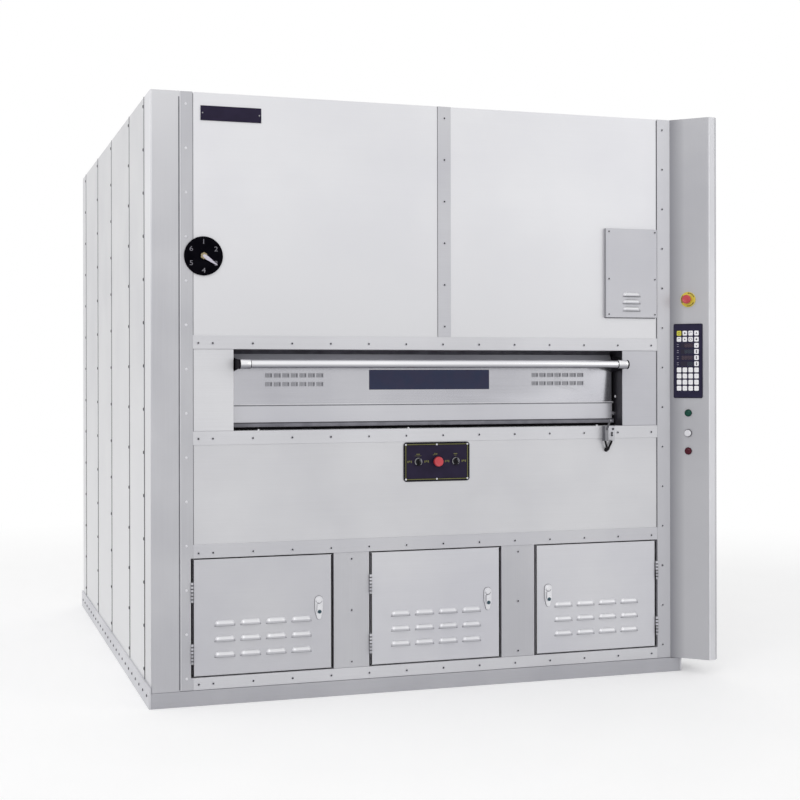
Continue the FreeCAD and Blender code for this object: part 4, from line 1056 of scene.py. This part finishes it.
bladeWay = Matrix.Rotation(math.radians(dialLook["angle"]), 3, "Z") @ toRight
hubCentre = dialCentre + front * dialLook["stand"] * mm
bladePlace = planeFrame(hubCentre, Vector((bladeWay.x, 0, bladeWay.y)), front)
pointerShape = bmesh.new()
sections = []
for along, halfWidth, side, ridge in dialLook["blade"]:
    rows = ((-halfWidth, 0), (-halfWidth, side), (-halfWidth * 0.15, ridge), (halfWidth * 0.15, ridge),
            (halfWidth, side), (halfWidth, 0))
    sections.append([pointerShape.verts.new(bladePlace @ Vector((along * mm, y * mm, z * mm)))
                     for y, z in rows])
for a, b in zip(sections, sections[1:]):
    for i in range(len(a)):
        j = (i + 1) % len(a)
        pointerShape.faces.new((a[i], b[i], b[j], a[j]))
pointerShape.faces.new(sections[0])
pointerShape.faces.new(sections[-1][::-1])
hub = arc(dialLook["hubCorner"], 30, 330, 5)
slab(pointerShape, facing(hubCentre), hub, 0, dialLook["hubHeight"], 1, dialLook["hubRim"])
turned(pointerShape, facing(hubCentre), dialLook["stem"], 24)
finishMesh(pointerShape, "dialPointerBlade", "dial_hand", ("brushedAluminium", "rawBrass"), 20,
           ("dial_pointer",))

plateLow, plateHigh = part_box("name_plate")
screwIn = dialLook["screwIn"] * mm
fasten("namePlateScrews", [Vector((x, plateLow.y, (plateLow.z + plateHigh.z) / 2))
                           for x in (plateLow.x + screwIn, plateHigh.x - screwIn)], [front] * 2)
print("dial made")


# control plate: printed frame, two selectors and a stop button

controlLook = {"corner": 12.0, "rowHeight": 858, "shadedTurnBelow": 35, "gripLength": 28.0, "screwIn": 9,
               "frame": (7.0, 9.8), "field": 12.0,  # how far the printed line and field lie inside the rim
               "selectorRing": plain([(15.4, 0), (15.4, 4.2), (14.6, 5.0), (11.7, 5.0), (11.7, 0),
                                      (15.4, 0)], 2),
               "stopRing": plain([(15, 0), (15, 4.2), (14.2, 5.0), (7.4, 5.0), (7.4, 0), (15, 0)], 2),
               "knob": plain([(0, 0.8), (11.3, 0.8), (11.3, 12.6), (10.4, 13.8), (0, 14.0)]),
               "grip": ((13.6, 3.7), (21.8, 2.7)),  # height and half width of its foot and its top
               "flats": (  # a painted highlight on the knob's right flat and the pointer line on the grip: outline, low and high
                   (3.2, 12, 1.4, (7.8, 3.4), 13.6, 14.6), (1.0, 9, 0.4, (0, 8.5), 21.4, 22.1)),
               "ringHighlightBand": (14.6, 11.8, 3.8, 5.6),  # outer and inner radius, low and high
               "tickFrom": 27, "tickPitch": 6.6, "ticks": ((0, 4.6, 8.5), (1.5, 4.6, 6.1), (0, 4.6, 8.5)),
               "overStop": ((-8, 28, 5, 8), (-1, 28, 5, 6), (-14, 24.5, 4, 3)),
               "overKnob": (28, 15, 3.4),
               "underline": (22, 27, 9, 1.6),  # height, width on the left and on the right, thickness
               "stopAcross": 1077, "stopHead": (18, 8.7, 18.8)}  # stand, foot and radius
controlLow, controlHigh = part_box("control_plate")
controlWidth, controlTall = (controlHigh.x - controlLow.x) / mm, (controlHigh.z - controlLow.z) / mm
controlMiddle = Vector(((controlLow.x + controlHigh.x) / 2, controlLow.y, (controlLow.z + controlHigh.z) / 2))
controlPlace = facing(controlMiddle)
selectors = ("left_selector", "right_selector")


def inset(distance):
    corner = max(controlLook["corner"] - distance, 2.0)
    return roundedBox(controlWidth - 2 * distance, controlTall - 2 * distance, corner)


plateShape = bmesh.new()
flatRing(plateShape, controlPlace, *map(inset, controlLook["frame"]), -0.2, 0.3, 0)
slab(plateShape, controlPlace, inset(controlLook["field"]), -0.2, 0.25, 1)
drop = (controlLook["rowHeight"] * mm - controlMiddle.z) / mm
selectorSpots = [(middleOf(node).x - controlMiddle.x) / mm for node in selectors]
marks = []  # plain tick groups beside and above each control: x, y, width, height
for x in selectorSpots:
    for side in (-1, 1):
        marks += [(x + side * (controlLook["tickFrom"] + controlLook["tickPitch"] * i), drop + rise, *size)
                  for i, (rise, *size) in enumerate(controlLook["ticks"])]
    rise, *size = controlLook["overKnob"]
    marks.append((x, drop + rise, *size))
    rise, onLeft, onRight, tall = controlLook["underline"]
    marks.append((x, drop + rise, onLeft if x < 0 else onRight, tall))
marks += [(x, drop + rise, *size) for x, rise, *size in controlLook["overStop"]]
for x, y, width, height in marks:
    outline = roundedBox(width, height, min(width, height) * 0.3, (x, y), 2)
    slab(plateShape, controlPlace, outline, 0.1, 0.45, 0)
for x in selectorSpots:
    spot = shifted(controlPlace, x, drop)
    turned(plateShape, spot, controlLook["selectorRing"])
    # the chrome bezel as a bright arc on the black ring: painted reflection, left dark at the bottom as
    # painted shade
    start, end = -90 + controlLook["shadedTurnBelow"], 270 - controlLook["shadedTurnBelow"]
    *radii, low, high = controlLook["ringHighlightBand"]
    outer, inner = [arc(radius, start, end, 36) for radius in radii]
    flatRing(plateShape, spot, outer, inner, low, high, 3, closed=False)
turned(plateShape, shifted(controlPlace, 0, drop), controlLook["stopRing"])
finishMesh(plateShape, "controlPlatePrint", "housing",
           ("oliveInk", "navyPrintedPlate", "blackNylon", "brightZincSteel"), 30)

for node, x in zip(selectors, selectorSpots):
    knobShape = bmesh.new()
    spot = shifted(controlPlace, x, drop)
    turned(knobShape, spot, controlLook["knob"])
    foot, crown = [[knobShape.verts.new(spot @ Vector((a * mm, b * mm, high * mm)))
                    for a, b in roundedBox(2 * halfWidth, controlLook["gripLength"], halfWidth * 0.6)]
                   for high, halfWidth in controlLook["grip"]]
    for i in range(len(foot)):
        j = (i + 1) % len(foot)
        knobShape.faces.new((foot[i], foot[j], crown[j], crown[i]))
    knobShape.faces.new(crown)
    knobShape.faces.new(foot[::-1])
    for *outline, low, high in controlLook["flats"]:
        slab(knobShape, spot, roundedBox(*outline), low, high, 1)
    finishMesh(knobShape, node.replace("_", "") + "Knob", node, ("blackNylon", "greyGripFacet"), 30, (node,))


def mushroom(name, place, body, stand, foot, radius):
    # stem, rounded head and a face dished a little inside its rim
    head = ((0.95, 0), (0.99, 1), (1.0, 4), (0.99, 8.5), (0.94, 11.4), (0.85, 13.3), (0.76, 14), (0.7, 13.6))
    rows = [(0, foot), (6.9, foot), (6.9, stand)] + [(share * radius, stand + z) for share, z in head]
    shape = bmesh.new()
    turned(shape, place, plain(rows + [(0, stand + 13.2)]), 64)
    finishMesh(shape, name, body, ("redGlossAbs",), 40, (body,))


stopPlace = facing(at(controlLook["stopAcross"], 0, controlLook["rowHeight"]))
mushroom("stopButtonHead", stopPlace, "stop_button", *controlLook["stopHead"])
halfSpan, halfRise = controlWidth / 2 - controlLook["screwIn"], controlTall / 2 - controlLook["screwIn"]
fasten("controlPlateScrews", [controlPlace @ Vector((x * halfSpan * mm, z * halfRise * mm, 0))
                              for x in (-1, 0, 1) for z in (-1, 1)], [front] * 6)
print("control plate made")


# console: emergency stop, keypad, lamps and push button on its slanted face

consoleNormal = Vector((-1, -1, 0)).normalized()
consoleLook = {"keypadHeight": 1238.5, "stopHeight": 1482, "buttonHeight": 952,
               "lamps": {"greenPilotLamp": (1032, "greenLens"), "redPilotLamp": (881, "redLens")},
               "lamp": plain([(0, 0), (14.5, 0), (14.5, 2.6)])
               + plain([(13.9, 3.4), (13.6, 6), (12.2, 8.4), (9.4, 10), (5.4, 10.8), (0, 11)], 1),
               "stopRing": plain([(30, 0), (30, 2.8), (29, 3.7), (27.6, 4), (7.4, 4), (7.4, 0), (30, 0)]),
               "cap": plain([(0, 3.8), (12.9, 3.8), (12.9, 11.6), (12.2, 13.2), (10.6, 14), (8.6, 13.7),
                             (0, 13.4)]),
               "capRing": plain([(15, 0), (15, 4), (14.4, 5), (13.3, 5), (13.3, 0), (15, 0)]),
               "arrowsFrom": (20, 140, 260), "arrowBand": (27, 24.6), "arrowSweep": 62,
               "inkLevels": (3.8, 4.2),
               "arrowHead": ((22.9, 60), (28.7, 60), (25.8, 76)),  # radius and turn of its corners
               "stopHead": (20, -8, 17.6)}  # stand, foot and radius
keypadLook = {"left": 22.8, "columnPitch": 23.4, "top": 37.4, "rowPitch": 24.3, "columns": 4, "rows": 10,
              "width": 117.0, "height": 295.0, "thickness": 4.0, "displayRows": (2, 3, 4, 5),
              "digits": (3, 3, 4, 2), "digitPitch": 11.2, "digit": (8.2, 13.5), "markLow": 1.1,
              "markHigh": 1.35, "crownShare": 0.94,
              "key": {"Width": 18.0, "Height": 19.2, "Corner": 3.4, "Foot": 0.7, "Crown": 0.5},
              "rim": ((113, 291, 5), (110.6, 288.6, 4)),  # the printed line, outside and inside
              "displayX": -4.5, "display": (50, 18, 1.5), "firstDigit": 14,
              "indicatorX": -41, "indicatorRises": (4, -4), "indicator": (7, 2.2, 0.8),
              "arrows": (((3.6, 1.5), (0, 6.5), (-3.6, 1.5)), ((-3.6, -1.5), (0, -6.5), (3.6, -1.5))),
              "arrowStem": (2.4, 5, 0.6), "wideDot": (5, 4, 1.2), "squareDot": (6.4, 6.4, 2),
              "triangle": ((-3.4, -2.6), (3.4, -2.6), (0, 4.2)),
              "ringMark": (5.2, 3.9, 0, 345, 23, True), "archMark": (5, 3.6, 200, 20, 12, False),
              "dash": (2.4, 1.2, 0.4), "dashHigh": 1.3}
segments = (  # x, y, width and height of each bar of a figure, as shares of its width and height
    (0, 0.46, 0.7, 0.1), (0, 0, 0.7, 0.1), (0, -0.46, 0.7, 0.1), (-0.42, 0.24, 0.16, 0.38),
    (0.42, 0.24, 0.16, 0.38), (-0.42, -0.24, 0.16, 0.38), (0.42, -0.24, 0.16, 0.38))


def onConsole(height):
    return planeFrame(at(2117.5, -55.5, height), consoleWay, consoleNormal)


keypadPlace = shifted(onConsole(consoleLook["keypadHeight"]), 0, 0, keypadLook["thickness"])


def keySpot(column, row):
    return (keypadLook["left"] + column * keypadLook["columnPitch"] - keypadLook["width"] / 2,
            keypadLook["height"] / 2 - keypadLook["top"] - row * keypadLook["rowPitch"])


whiteSpots = [keySpot(column, row)
              for row in range(keypadLook["rows"]) for column in range(keypadLook["columns"])
              if (column, row) != (0, 0) and (row not in keypadLook["displayRows"] or column == 3)]
keyInputs = {label: size * mm for label, size in keypadLook["key"].items()}
for name, spots, material in (("keypadWhiteKeys", whiteSpots, "whiteKey"),
                              ("keypadYellowKey", [keySpot(0, 0)], "yellowKey")):
    grow(name, keys, [Vector((x * mm, y * mm, 0)) for x, y in spots], "housing",
         {**keyInputs, "Crown Share": keypadLook["crownShare"], "Material": material}, place=keypadPlace)

keypadShape = bmesh.new()
markLow, markHigh = keypadLook["markLow"], keypadLook["markHigh"]


def printed(x, y, width, tall, corner, low, high, index, steps=2):
    slab(keypadShape, keypadPlace, roundedBox(width, tall, corner, (x, y), steps), low, high, index)


def keyArrow(x, y, corners):
    slab(keypadShape, keypadPlace, [(x + a, y + b) for a, b in corners], markLow, markHigh, 5)


def keyArc(x, y, outer, inner, start, end, steps, closed):
    flatRing(keypadShape, keypadPlace, arc(outer, start, end, steps, (x, y)),
             arc(inner, start, end, steps, (x, y)), markLow, markHigh, 5, closed)


flatRing(keypadShape, keypadPlace, *(roundedBox(*size) for size in keypadLook["rim"]), -0.1, 0.15, 1)
for row, digits in zip(keypadLook["displayRows"], keypadLook["digits"]):
    _, y = keySpot(0, row)
    printed(keypadLook["displayX"], y, *keypadLook["display"], -0.1, 0.3, 0)
    wide, tall = keypadLook["digit"]
    for digit in range(digits):
        x = keypadLook["firstDigit"] - keypadLook["digitPitch"] * digit
        for sx, sy, width, height in segments:
            printed(x + wide * sx, y + tall * sy, wide * width, tall * height, 0.5, 0.2, 0.4,
                    3 if row % 2 else 2, 1)
    for rise in keypadLook["indicatorRises"]:  # small indicator marks left of the display
        printed(keypadLook["indicatorX"], y + rise, *keypadLook["indicator"], 0, 0.25, 4)
    x, y = keySpot(3, row)
    if row == 2:
        printed(x, y - 2, *keypadLook["wideDot"], markLow, markHigh, 5)
    else:  # double-headed marks on the keys beside the display
        for corners in keypadLook["arrows"]:
            keyArrow(x, y, corners)
        printed(x, y, *keypadLook["arrowStem"], markLow, markHigh, 5)
for row in (0, 1):
    for column in range(keypadLook["columns"]):
        x, y = keySpot(column, row)
        kind = (column + 2 * row) % 4
        if kind == 0:
            keyArc(x, y, *keypadLook["ringMark"])
        elif kind == 1:
            printed(x, y, *keypadLook["squareDot"], markLow, markHigh, 5)
        elif kind == 2:
            keyArc(x, y, *keypadLook["archMark"])
        else:
            keyArrow(x, y, keypadLook["triangle"])
for row in range(6, keypadLook["rows"]):
    for column in range(keypadLook["columns"]):
        printed(*keySpot(column, row), *keypadLook["dash"], markLow, keypadLook["dashHigh"], 4, 1)
finishMesh(keypadShape, "keypadPrint", "housing",
           ("darkDisplay", "blackPrintedRim", "unlitRedSegment", "unlitGreenSegment", "paleKeyInk",
            "darkKeyInk"))

ringShape = bmesh.new()
ringPlace = onConsole(consoleLook["stopHeight"])
turned(ringShape, ringPlace, consoleLook["stopRing"], 64)
for start in consoleLook["arrowsFrom"]:  # turn arrows around the head
    outer, inner = [arc(radius, start, start + consoleLook["arrowSweep"], 14)
                    for radius in consoleLook["arrowBand"]]
    flatRing(ringShape, ringPlace, outer, inner, *consoleLook["inkLevels"], 1, closed=False)
    corners = [(radius, math.radians(start + turn)) for radius, turn in consoleLook["arrowHead"]]
    arrow = [(radius * math.cos(turn), radius * math.sin(turn)) for radius, turn in corners]
    slab(ringShape, ringPlace, arrow, *consoleLook["inkLevels"], 1)
finishMesh(ringShape, "emergencyStopRing", "housing", ("yellowAbs", "darkKeyInk"), 30, ("button_bezels",))
mushroom("emergencyStopHead", ringPlace, "estop_head", *consoleLook["stopHead"])


def roundPiece(name, height, profile, body, materials, smoothAngle, node):
    shape = bmesh.new()
    turned(shape, onConsole(height), consoleLook[profile])
    finishMesh(shape, name, body, materials, smoothAngle, (node,))


for name, (height, lens) in consoleLook["lamps"].items():
    roundPiece(name, height, "lamp", "housing", ("blackNylon", lens), 40, "pilot_lamps")
buttonHeight = consoleLook["buttonHeight"]
roundPiece("pushButtonCap", buttonHeight, "cap", "push_button", ("whiteAbs",), 40, "push_button")
roundPiece("pushButtonRing", buttonHeight, "capRing", "housing", ("darkGreyAbs",), 30, "button_bezels")
print("console made")


# latches on the service doors

latchLook = {"width": 30.0, "height": 86.0, "footRadius": 8.0, "straightTo": -8.6, "faceHigh": 5.0,
             # the button's dark rim band and the dark arc under it are painted shade
             "button": [(0, -0.2, 0), (10.6, -0.2, 2),
                        *plain([(10.6, 0.15), (9.8, 0.15), (9.6, 2.6), (8.4, 3.7), (0, 4.0)])],
             "shadeArcBand": (12.6, 11.2),
             "ear": (2.8, 7, 1.2), "earPlace": (10.6, -14), "earLevels": (4.6, 11.5),
             "lever": (17.0, 34, 6, (0, -1.2)), "leverLevels": (8.2, 12.6),
             "lockPlace": (0, -13.5, 12.2), "keySlot": (1.2, 6, 0.5),
             "lock": plain([(0, 0), (7.2, 0), (7.2, 0.7), (6.6, 0.9), (0, 0.9)], 1)}
topCentre = latchLook["height"] / 2 - latchLook["width"] / 2
footCentre = latchLook["footRadius"] - latchLook["height"] / 2


def caseOutline(grown):
    radius, foot = latchLook["width"] / 2 + grown, latchLook["footRadius"] + grown
    return (arc(radius, 0, 180, 16, (0, topCentre)) + [(-radius, latchLook["straightTo"])]
            + arc(foot, 195, 345, 10, (0, footCentre)) + [(radius, latchLook["straightTo"])])


for side in sides:
    caseLow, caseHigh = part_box(f"latch_case_{side}")
    latchPlace = facing(Vector(((caseLow.x + caseHigh.x) / 2, frontPlane, (caseLow.z + caseHigh.z) / 2)))
    caseShape = bmesh.new()
    slab(caseShape, latchPlace, caseOutline(0.9), -0.1, 0.9, 1)
    slab(caseShape, latchPlace, caseOutline(0), 0.5, latchLook["faceHigh"], 0, rim=1.4)
    topPlace = shifted(latchPlace, 0, topCentre, latchLook["faceHigh"])
    turned(caseShape, topPlace, latchLook["button"], 32)
    # painted shade: a dark arc under the button
    outer, inner = [arc(radius, 195, 345, 14) for radius in latchLook["shadeArcBand"]]
    flatRing(caseShape, topPlace, outer, inner, -0.2, 0.3, 2, closed=False)
    for way in (-1, 1):  # ears of the lever's pin
        earAcross, earHeight = latchLook["earPlace"]
        ear = roundedBox(*latchLook["ear"], (way * earAcross, earHeight))
        slab(caseShape, latchPlace, ear, *latchLook["earLevels"], 0, rim=0.4)
    finishMesh(caseShape, f"latchCaseBody_{side}", f"service_door_{side}",
               ("castSatinChrome", "shadowedHole", "louvreLipShade"), 40, (f"latch_case_{side}",))
    leverShape = bmesh.new()
    slab(leverShape, latchPlace, roundedBox(*latchLook["lever"]), *latchLook["leverLevels"], 0, rim=1.0)
    lockPlace = shifted(latchPlace, *latchLook["lockPlace"])
    turned(leverShape, lockPlace, latchLook["lock"], 24)
    slab(leverShape, lockPlace, roundedBox(*latchLook["keySlot"]), 0.5, 1.0, 2)
    finishMesh(leverShape, f"latchLeverArm_{side}", f"latch_handle_{side}",
               ("castSatinChrome", "tealLockBarrel", "shadowedHole"), 40, (f"latch_handle_{side}",))
print("latches made")


# limit switch with its lever and leads

leadLook = {"radius": 4.1, "meetDrop": 36.0, "meetAcross": 17.0, "apart": 2.4,
            "starts": {"switchLeadLeft": (7, -15.5, -1), "switchLeadRight": (38, -8.1, 1)},
            "gland": plain([(0, 0), (8, 0), (8, 2.2), (7.2, 3), (0, 3)]), "caseWidth": 14, "leverTop": 8.2}
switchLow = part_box("limit_switch")[0]
caseRight = switchLow.x + leadLook["caseWidth"] * mm
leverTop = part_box("switch_lever")[1].z - leadLook["leverTop"] * mm


def switchPaint(centre, normal):
    return 2 if centre.x > caseRight + 0.2 * mm else int(normal.x < -0.5)


def leverPaint(centre, normal):
    return int(centre.z > leverTop and normal.y < -0.5)


dress("limit_switch", ("switchGreyEnamel", "switchDarkEnamel", "shadedStainlessBand"), 0.8, 10, switchPaint)
dress("switch_lever", ("darkGreyAbs", "switchGreyEnamel"), 0.3, 3, leverPaint)
foot = switchLow.z / mm
meet = foot - leadLook["meetDrop"]
switchLeft = (switchLow.x - leftEdge) / mm
for name, (inward, depth, side) in leadLook["starts"].items():
    across = switchLeft + inward
    end = switchLeft + leadLook["meetAcross"] + side * leadLook["apart"]
    route = [(across, depth, foot), (across + (end - across) * 0.1, depth, foot - 7),
             (across + (end - across) * 0.75, (depth - 17) / 2, meet + 12), (end, -15, meet), (end, -3, meet)]
    curve = bpy.data.curves.new(name, "CURVE")
    curve.dimensions = "3D"
    spline = curve.splines.new("NURBS")
    spline.points.add(len(route) - 1)
    for point, spot in zip(spline.points, route):
        point.co = (*at(*spot), 1.0)
    spline.order_u = 3
    spline.use_endpoint_u = True
    spline.resolution_u = 8
    curve.bevel_depth = leadLook["radius"] * mm
    curve.bevel_resolution = 3
    curve.use_fill_caps = True
    mesh = plainMesh(addObject(name + "Line", curve))
    leadShape = bmesh.new()
    leadShape.from_mesh(mesh)
    bpy.data.meshes.remove(mesh)
    bmesh.ops.remove_doubles(leadShape, verts=leadShape.verts, dist=0.01 * mm)
    finishMesh(leadShape, name, "housing", ("blackRubberLead",), 50, ("switch_leads",))
glandShape = bmesh.new()
turned(glandShape, facing(at(switchLeft + leadLook["meetAcross"], 0, meet)), leadLook["gland"], 32)
finishMesh(glandShape, "switchLeadGland", "housing", ("blackRubberLead",), 40, ("switch_leads",))
print("limit switch made")


# hinges keep their CAD knuckles

hingeData = nodes["fixed_hinges"].data
hingeData.materials.clear()
hingeData.materials.append(finish["brightZincSteel"])


# rivets and screws of the housing

rivetLook = {
    "strips": (  # across, lowest and pitch on the left strip, the right strip and the batten
        (128.0, 99.0, 158.2), (2030.0, 109.5, 157.6), (1109.0, 1367.5, 157.6)),
    "stripTop": 2192, "bandLead": 171.0, "bandFirst": 223.5, "bandPitch": 146.4,  # places along a band
    "bandDrop": {1303: 3.5, 958: 2.0, 552: 6.0, 78: 1.5},  # how far under the band's middle line
    "postHeights": (122.0, 313.0, 503.0), "postWidth": (90, 400),
    "coverIn": (12, 10), "coverMiddle": 1561,
    "wallPitch": 158.0, "wallBehind": 13.0, "wallFirst": 58.0, "roofFirst": 80,
    "skirtPitch": 100.0, "skirtHeight": 40.0, "skirtFirst": (50, 100), "skirtRear": 20,
    "switch": ((1807, -6, 955), (1807, -6, 946), (1812, -6, 971)),
}
stripRivets = [[at(across, -3, lowest + k * pitch) for k in range(14)
                if lowest + k * pitch < rivetLook["stripTop"]]
               for across, lowest, pitch in rivetLook["strips"]]
frontRivets = stripRivets[1] + stripRivets[2]
for low, high in islands("cross_bands"):
    middle = (low.z + high.z) / 2 / mm
    height = middle - rivetLook["bandDrop"][int(middle)]
    places = [rivetLook["bandLead"]]
    places += [rivetLook["bandFirst"] + k * rivetLook["bandPitch"] for k in range(13)]
    frontRivets += [at(across, -3, height) for across in places if low.x < at(across, 0, 0).x < high.x]
for low, high in islands("service_posts"):
    if rivetLook["postWidth"][0] * mm < high.x - low.x < rivetLook["postWidth"][1] * mm:
        frontRivets += [Vector(((low.x + high.x) / 2, low.y, z * mm)) for z in rivetLook["postHeights"]]
inLeft, inRight = (inward * mm for inward in rivetLook["coverIn"])
coverScrews = [Vector((x, coverFace, z)) for x in (coverLow.x + inLeft, coverHigh.x - inRight)
               for z in (coverLow.z + inLeft, rivetLook["coverMiddle"] * mm, coverHigh.z - inLeft)]
fasten("frontRivets", frontRivets + coverScrews, [front] * (len(frontRivets) + len(coverScrews)))
fasten("leftStripRivets", stripRivets[0], [front] * len(stripRivets[0]))
fasten("switchScrews", [at(*spot) for spot in rivetLook["switch"]], [front] * len(rivetLook["switch"]))

wallPitch, wallBehind = rivetLook["wallPitch"], rivetLook["wallBehind"] * mm
wallRivets, wallFacings = [], []
for nodeName, outward in (("left_wall_panels", -toRight), ("right_wall_panels", toRight),
                          ("rear_wall_panels", -front), ("roof_panels", up)):
    for low, high in islands(nodeName):
        if outward == up:
            spots = [(low.x + (rivetLook["roofFirst"] + k * wallPitch) * mm, low.y + wallBehind, high.z)
                     for k in range(int((high.x - low.x) / (wallPitch * mm)))]
        else:
            x, y = (low.x if outward.x < 0 else high.x), low.y + wallBehind
            if outward == -front:
                x, y = low.x + wallBehind, high.y
            count = 14 if outward == -front else int((high.z - low.z) / (wallPitch * mm)) + 1
            spots = [(x, y, low.z + (rivetLook["wallFirst"] + k * wallPitch) * mm) for k in range(count)]
        wallRivets += spots
        wallFacings += [outward] * len(spots)
fasten("wallRivets", wallRivets, wallFacings)

skirtLow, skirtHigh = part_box("side_skirts")
skirtPitch, skirtHeight = rivetLook["skirtPitch"], rivetLook["skirtHeight"] * mm
sideFirst, rearFirst = rivetLook["skirtFirst"]
skirtRivets, skirtFacings = [], []
for k in range(int((skirtHigh.y - skirtLow.y) / (skirtPitch * mm))):
    for x, outward in ((skirtLow.x, -toRight), (skirtHigh.x, toRight)):
        skirtRivets.append((x, skirtLow.y + (sideFirst + k * skirtPitch) * mm, skirtHeight))
        skirtFacings.append(outward)
for k in range(rivetLook["skirtRear"]):
    skirtRivets.append((leftEdge + (rearFirst + k * skirtPitch) * mm, skirtHigh.y, skirtHeight))
    skirtFacings.append(-front)
fasten("skirtRivets", skirtRivets, skirtFacings)


# beads of sealant between the wall and roof panels, and thin painted shadow and highlight lines beside the
# front strips and on the console

jointLook = {"bead": 13.0, "rise": 1.2,
             "lines": (  # across, height and size of each line on the front
                 (2006.2, 1150.0, 3.0, 2090.0), (1082.4, 1764.0, 1.4, 872.0), (153.6, 1150.0, 2.0, 2090.0),
                 (1889.5, 1408.4, 223.0, 3.4)),
             "console": ((2207.4, 2.8, 2), (2179.0, 4.4, 1)), "consoleSize": (1128.5, 2138),
             "fold": (1127, 2139, 1.2), "post": (102.5, 1120, 4.6, 2120)}
beadShape = bmesh.new()
for nodeName, outward in (("left_wall_panels", -toRight), ("right_wall_panels", toRight),
                          ("rear_wall_panels", -front), ("roof_panels", up)):
    boxes = islands(nodeName)
    alongX = nodeName == "rear_wall_panels"
    start = min(low.x for low, high in boxes)
    for low, high in boxes:
        if alongX and low.x < start + mm:
            continue
        middle = (low + high) / 2
        spot = Vector((low.x if alongX else middle.x, middle.y if alongX else low.y - 1.5 * mm, middle.z))
        spot += outward * ((high - low) / 2).dot(Vector(map(abs, outward)))
        right = toRight if outward == up else up.cross(outward)
        length = (high.x - low.x if outward == up else high.z - low.z) / mm
        size = (length, jointLook["bead"]) if outward == up else (jointLook["bead"], length)
        place = planeFrame(spot, right, outward)
        slab(beadShape, place, roundedBox(*size, 3, steps=2), -0.3, jointLook["rise"])
finishMesh(beadShape, "panelJointBeads", "housing", ("panelJointSealant",))
lineShape = bmesh.new()


def line(place, width, tall, corner, low, high, index=0):
    slab(lineShape, facing(place), roundedBox(width, tall, corner, steps=1), low, high, index)


for across, height, width, tall in jointLook["lines"]:
    line(at(across, -0.1, height), width, tall, 0.9, 0, 0.5)
# on the console: a white painted highlight at its edge strip's fold and a painted shade line at its right edge
for across, width, index in jointLook["console"]:
    height, tall = jointLook["consoleSize"]
    line(at(across, -113.9, height), width, tall, 0.9, -0.3, 0.4, index)
gapLow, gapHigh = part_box("left_corner_post")[1].x, islands("upright_strips")[0][0].x
height, tall, grown = jointLook["fold"]  # a painted highlight laid over the narrow gap beside the left strip
place = Vector(((gapLow + gapHigh) / 2, at(0, -2.9, 0).y, height * mm))
line(place, (gapHigh - gapLow) / mm + grown, tall, 0.6, -1.0, 0.3, 3)
across, height, width, tall = jointLook["post"]
line(Vector((at(across, 0, 0).x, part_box("left_corner_post")[0].y, height * mm)), width, tall, 0.9, -0.3, 0.3)
finishMesh(lineShape, "stripShadowLines", "housing",
           ("louvreLipShade", "whiteAbs", "satinStainlessPlinth", "brightStainlessFold"))
print("rivets:", len(frontRivets), "in front,", len(wallRivets), "on the walls and roof")
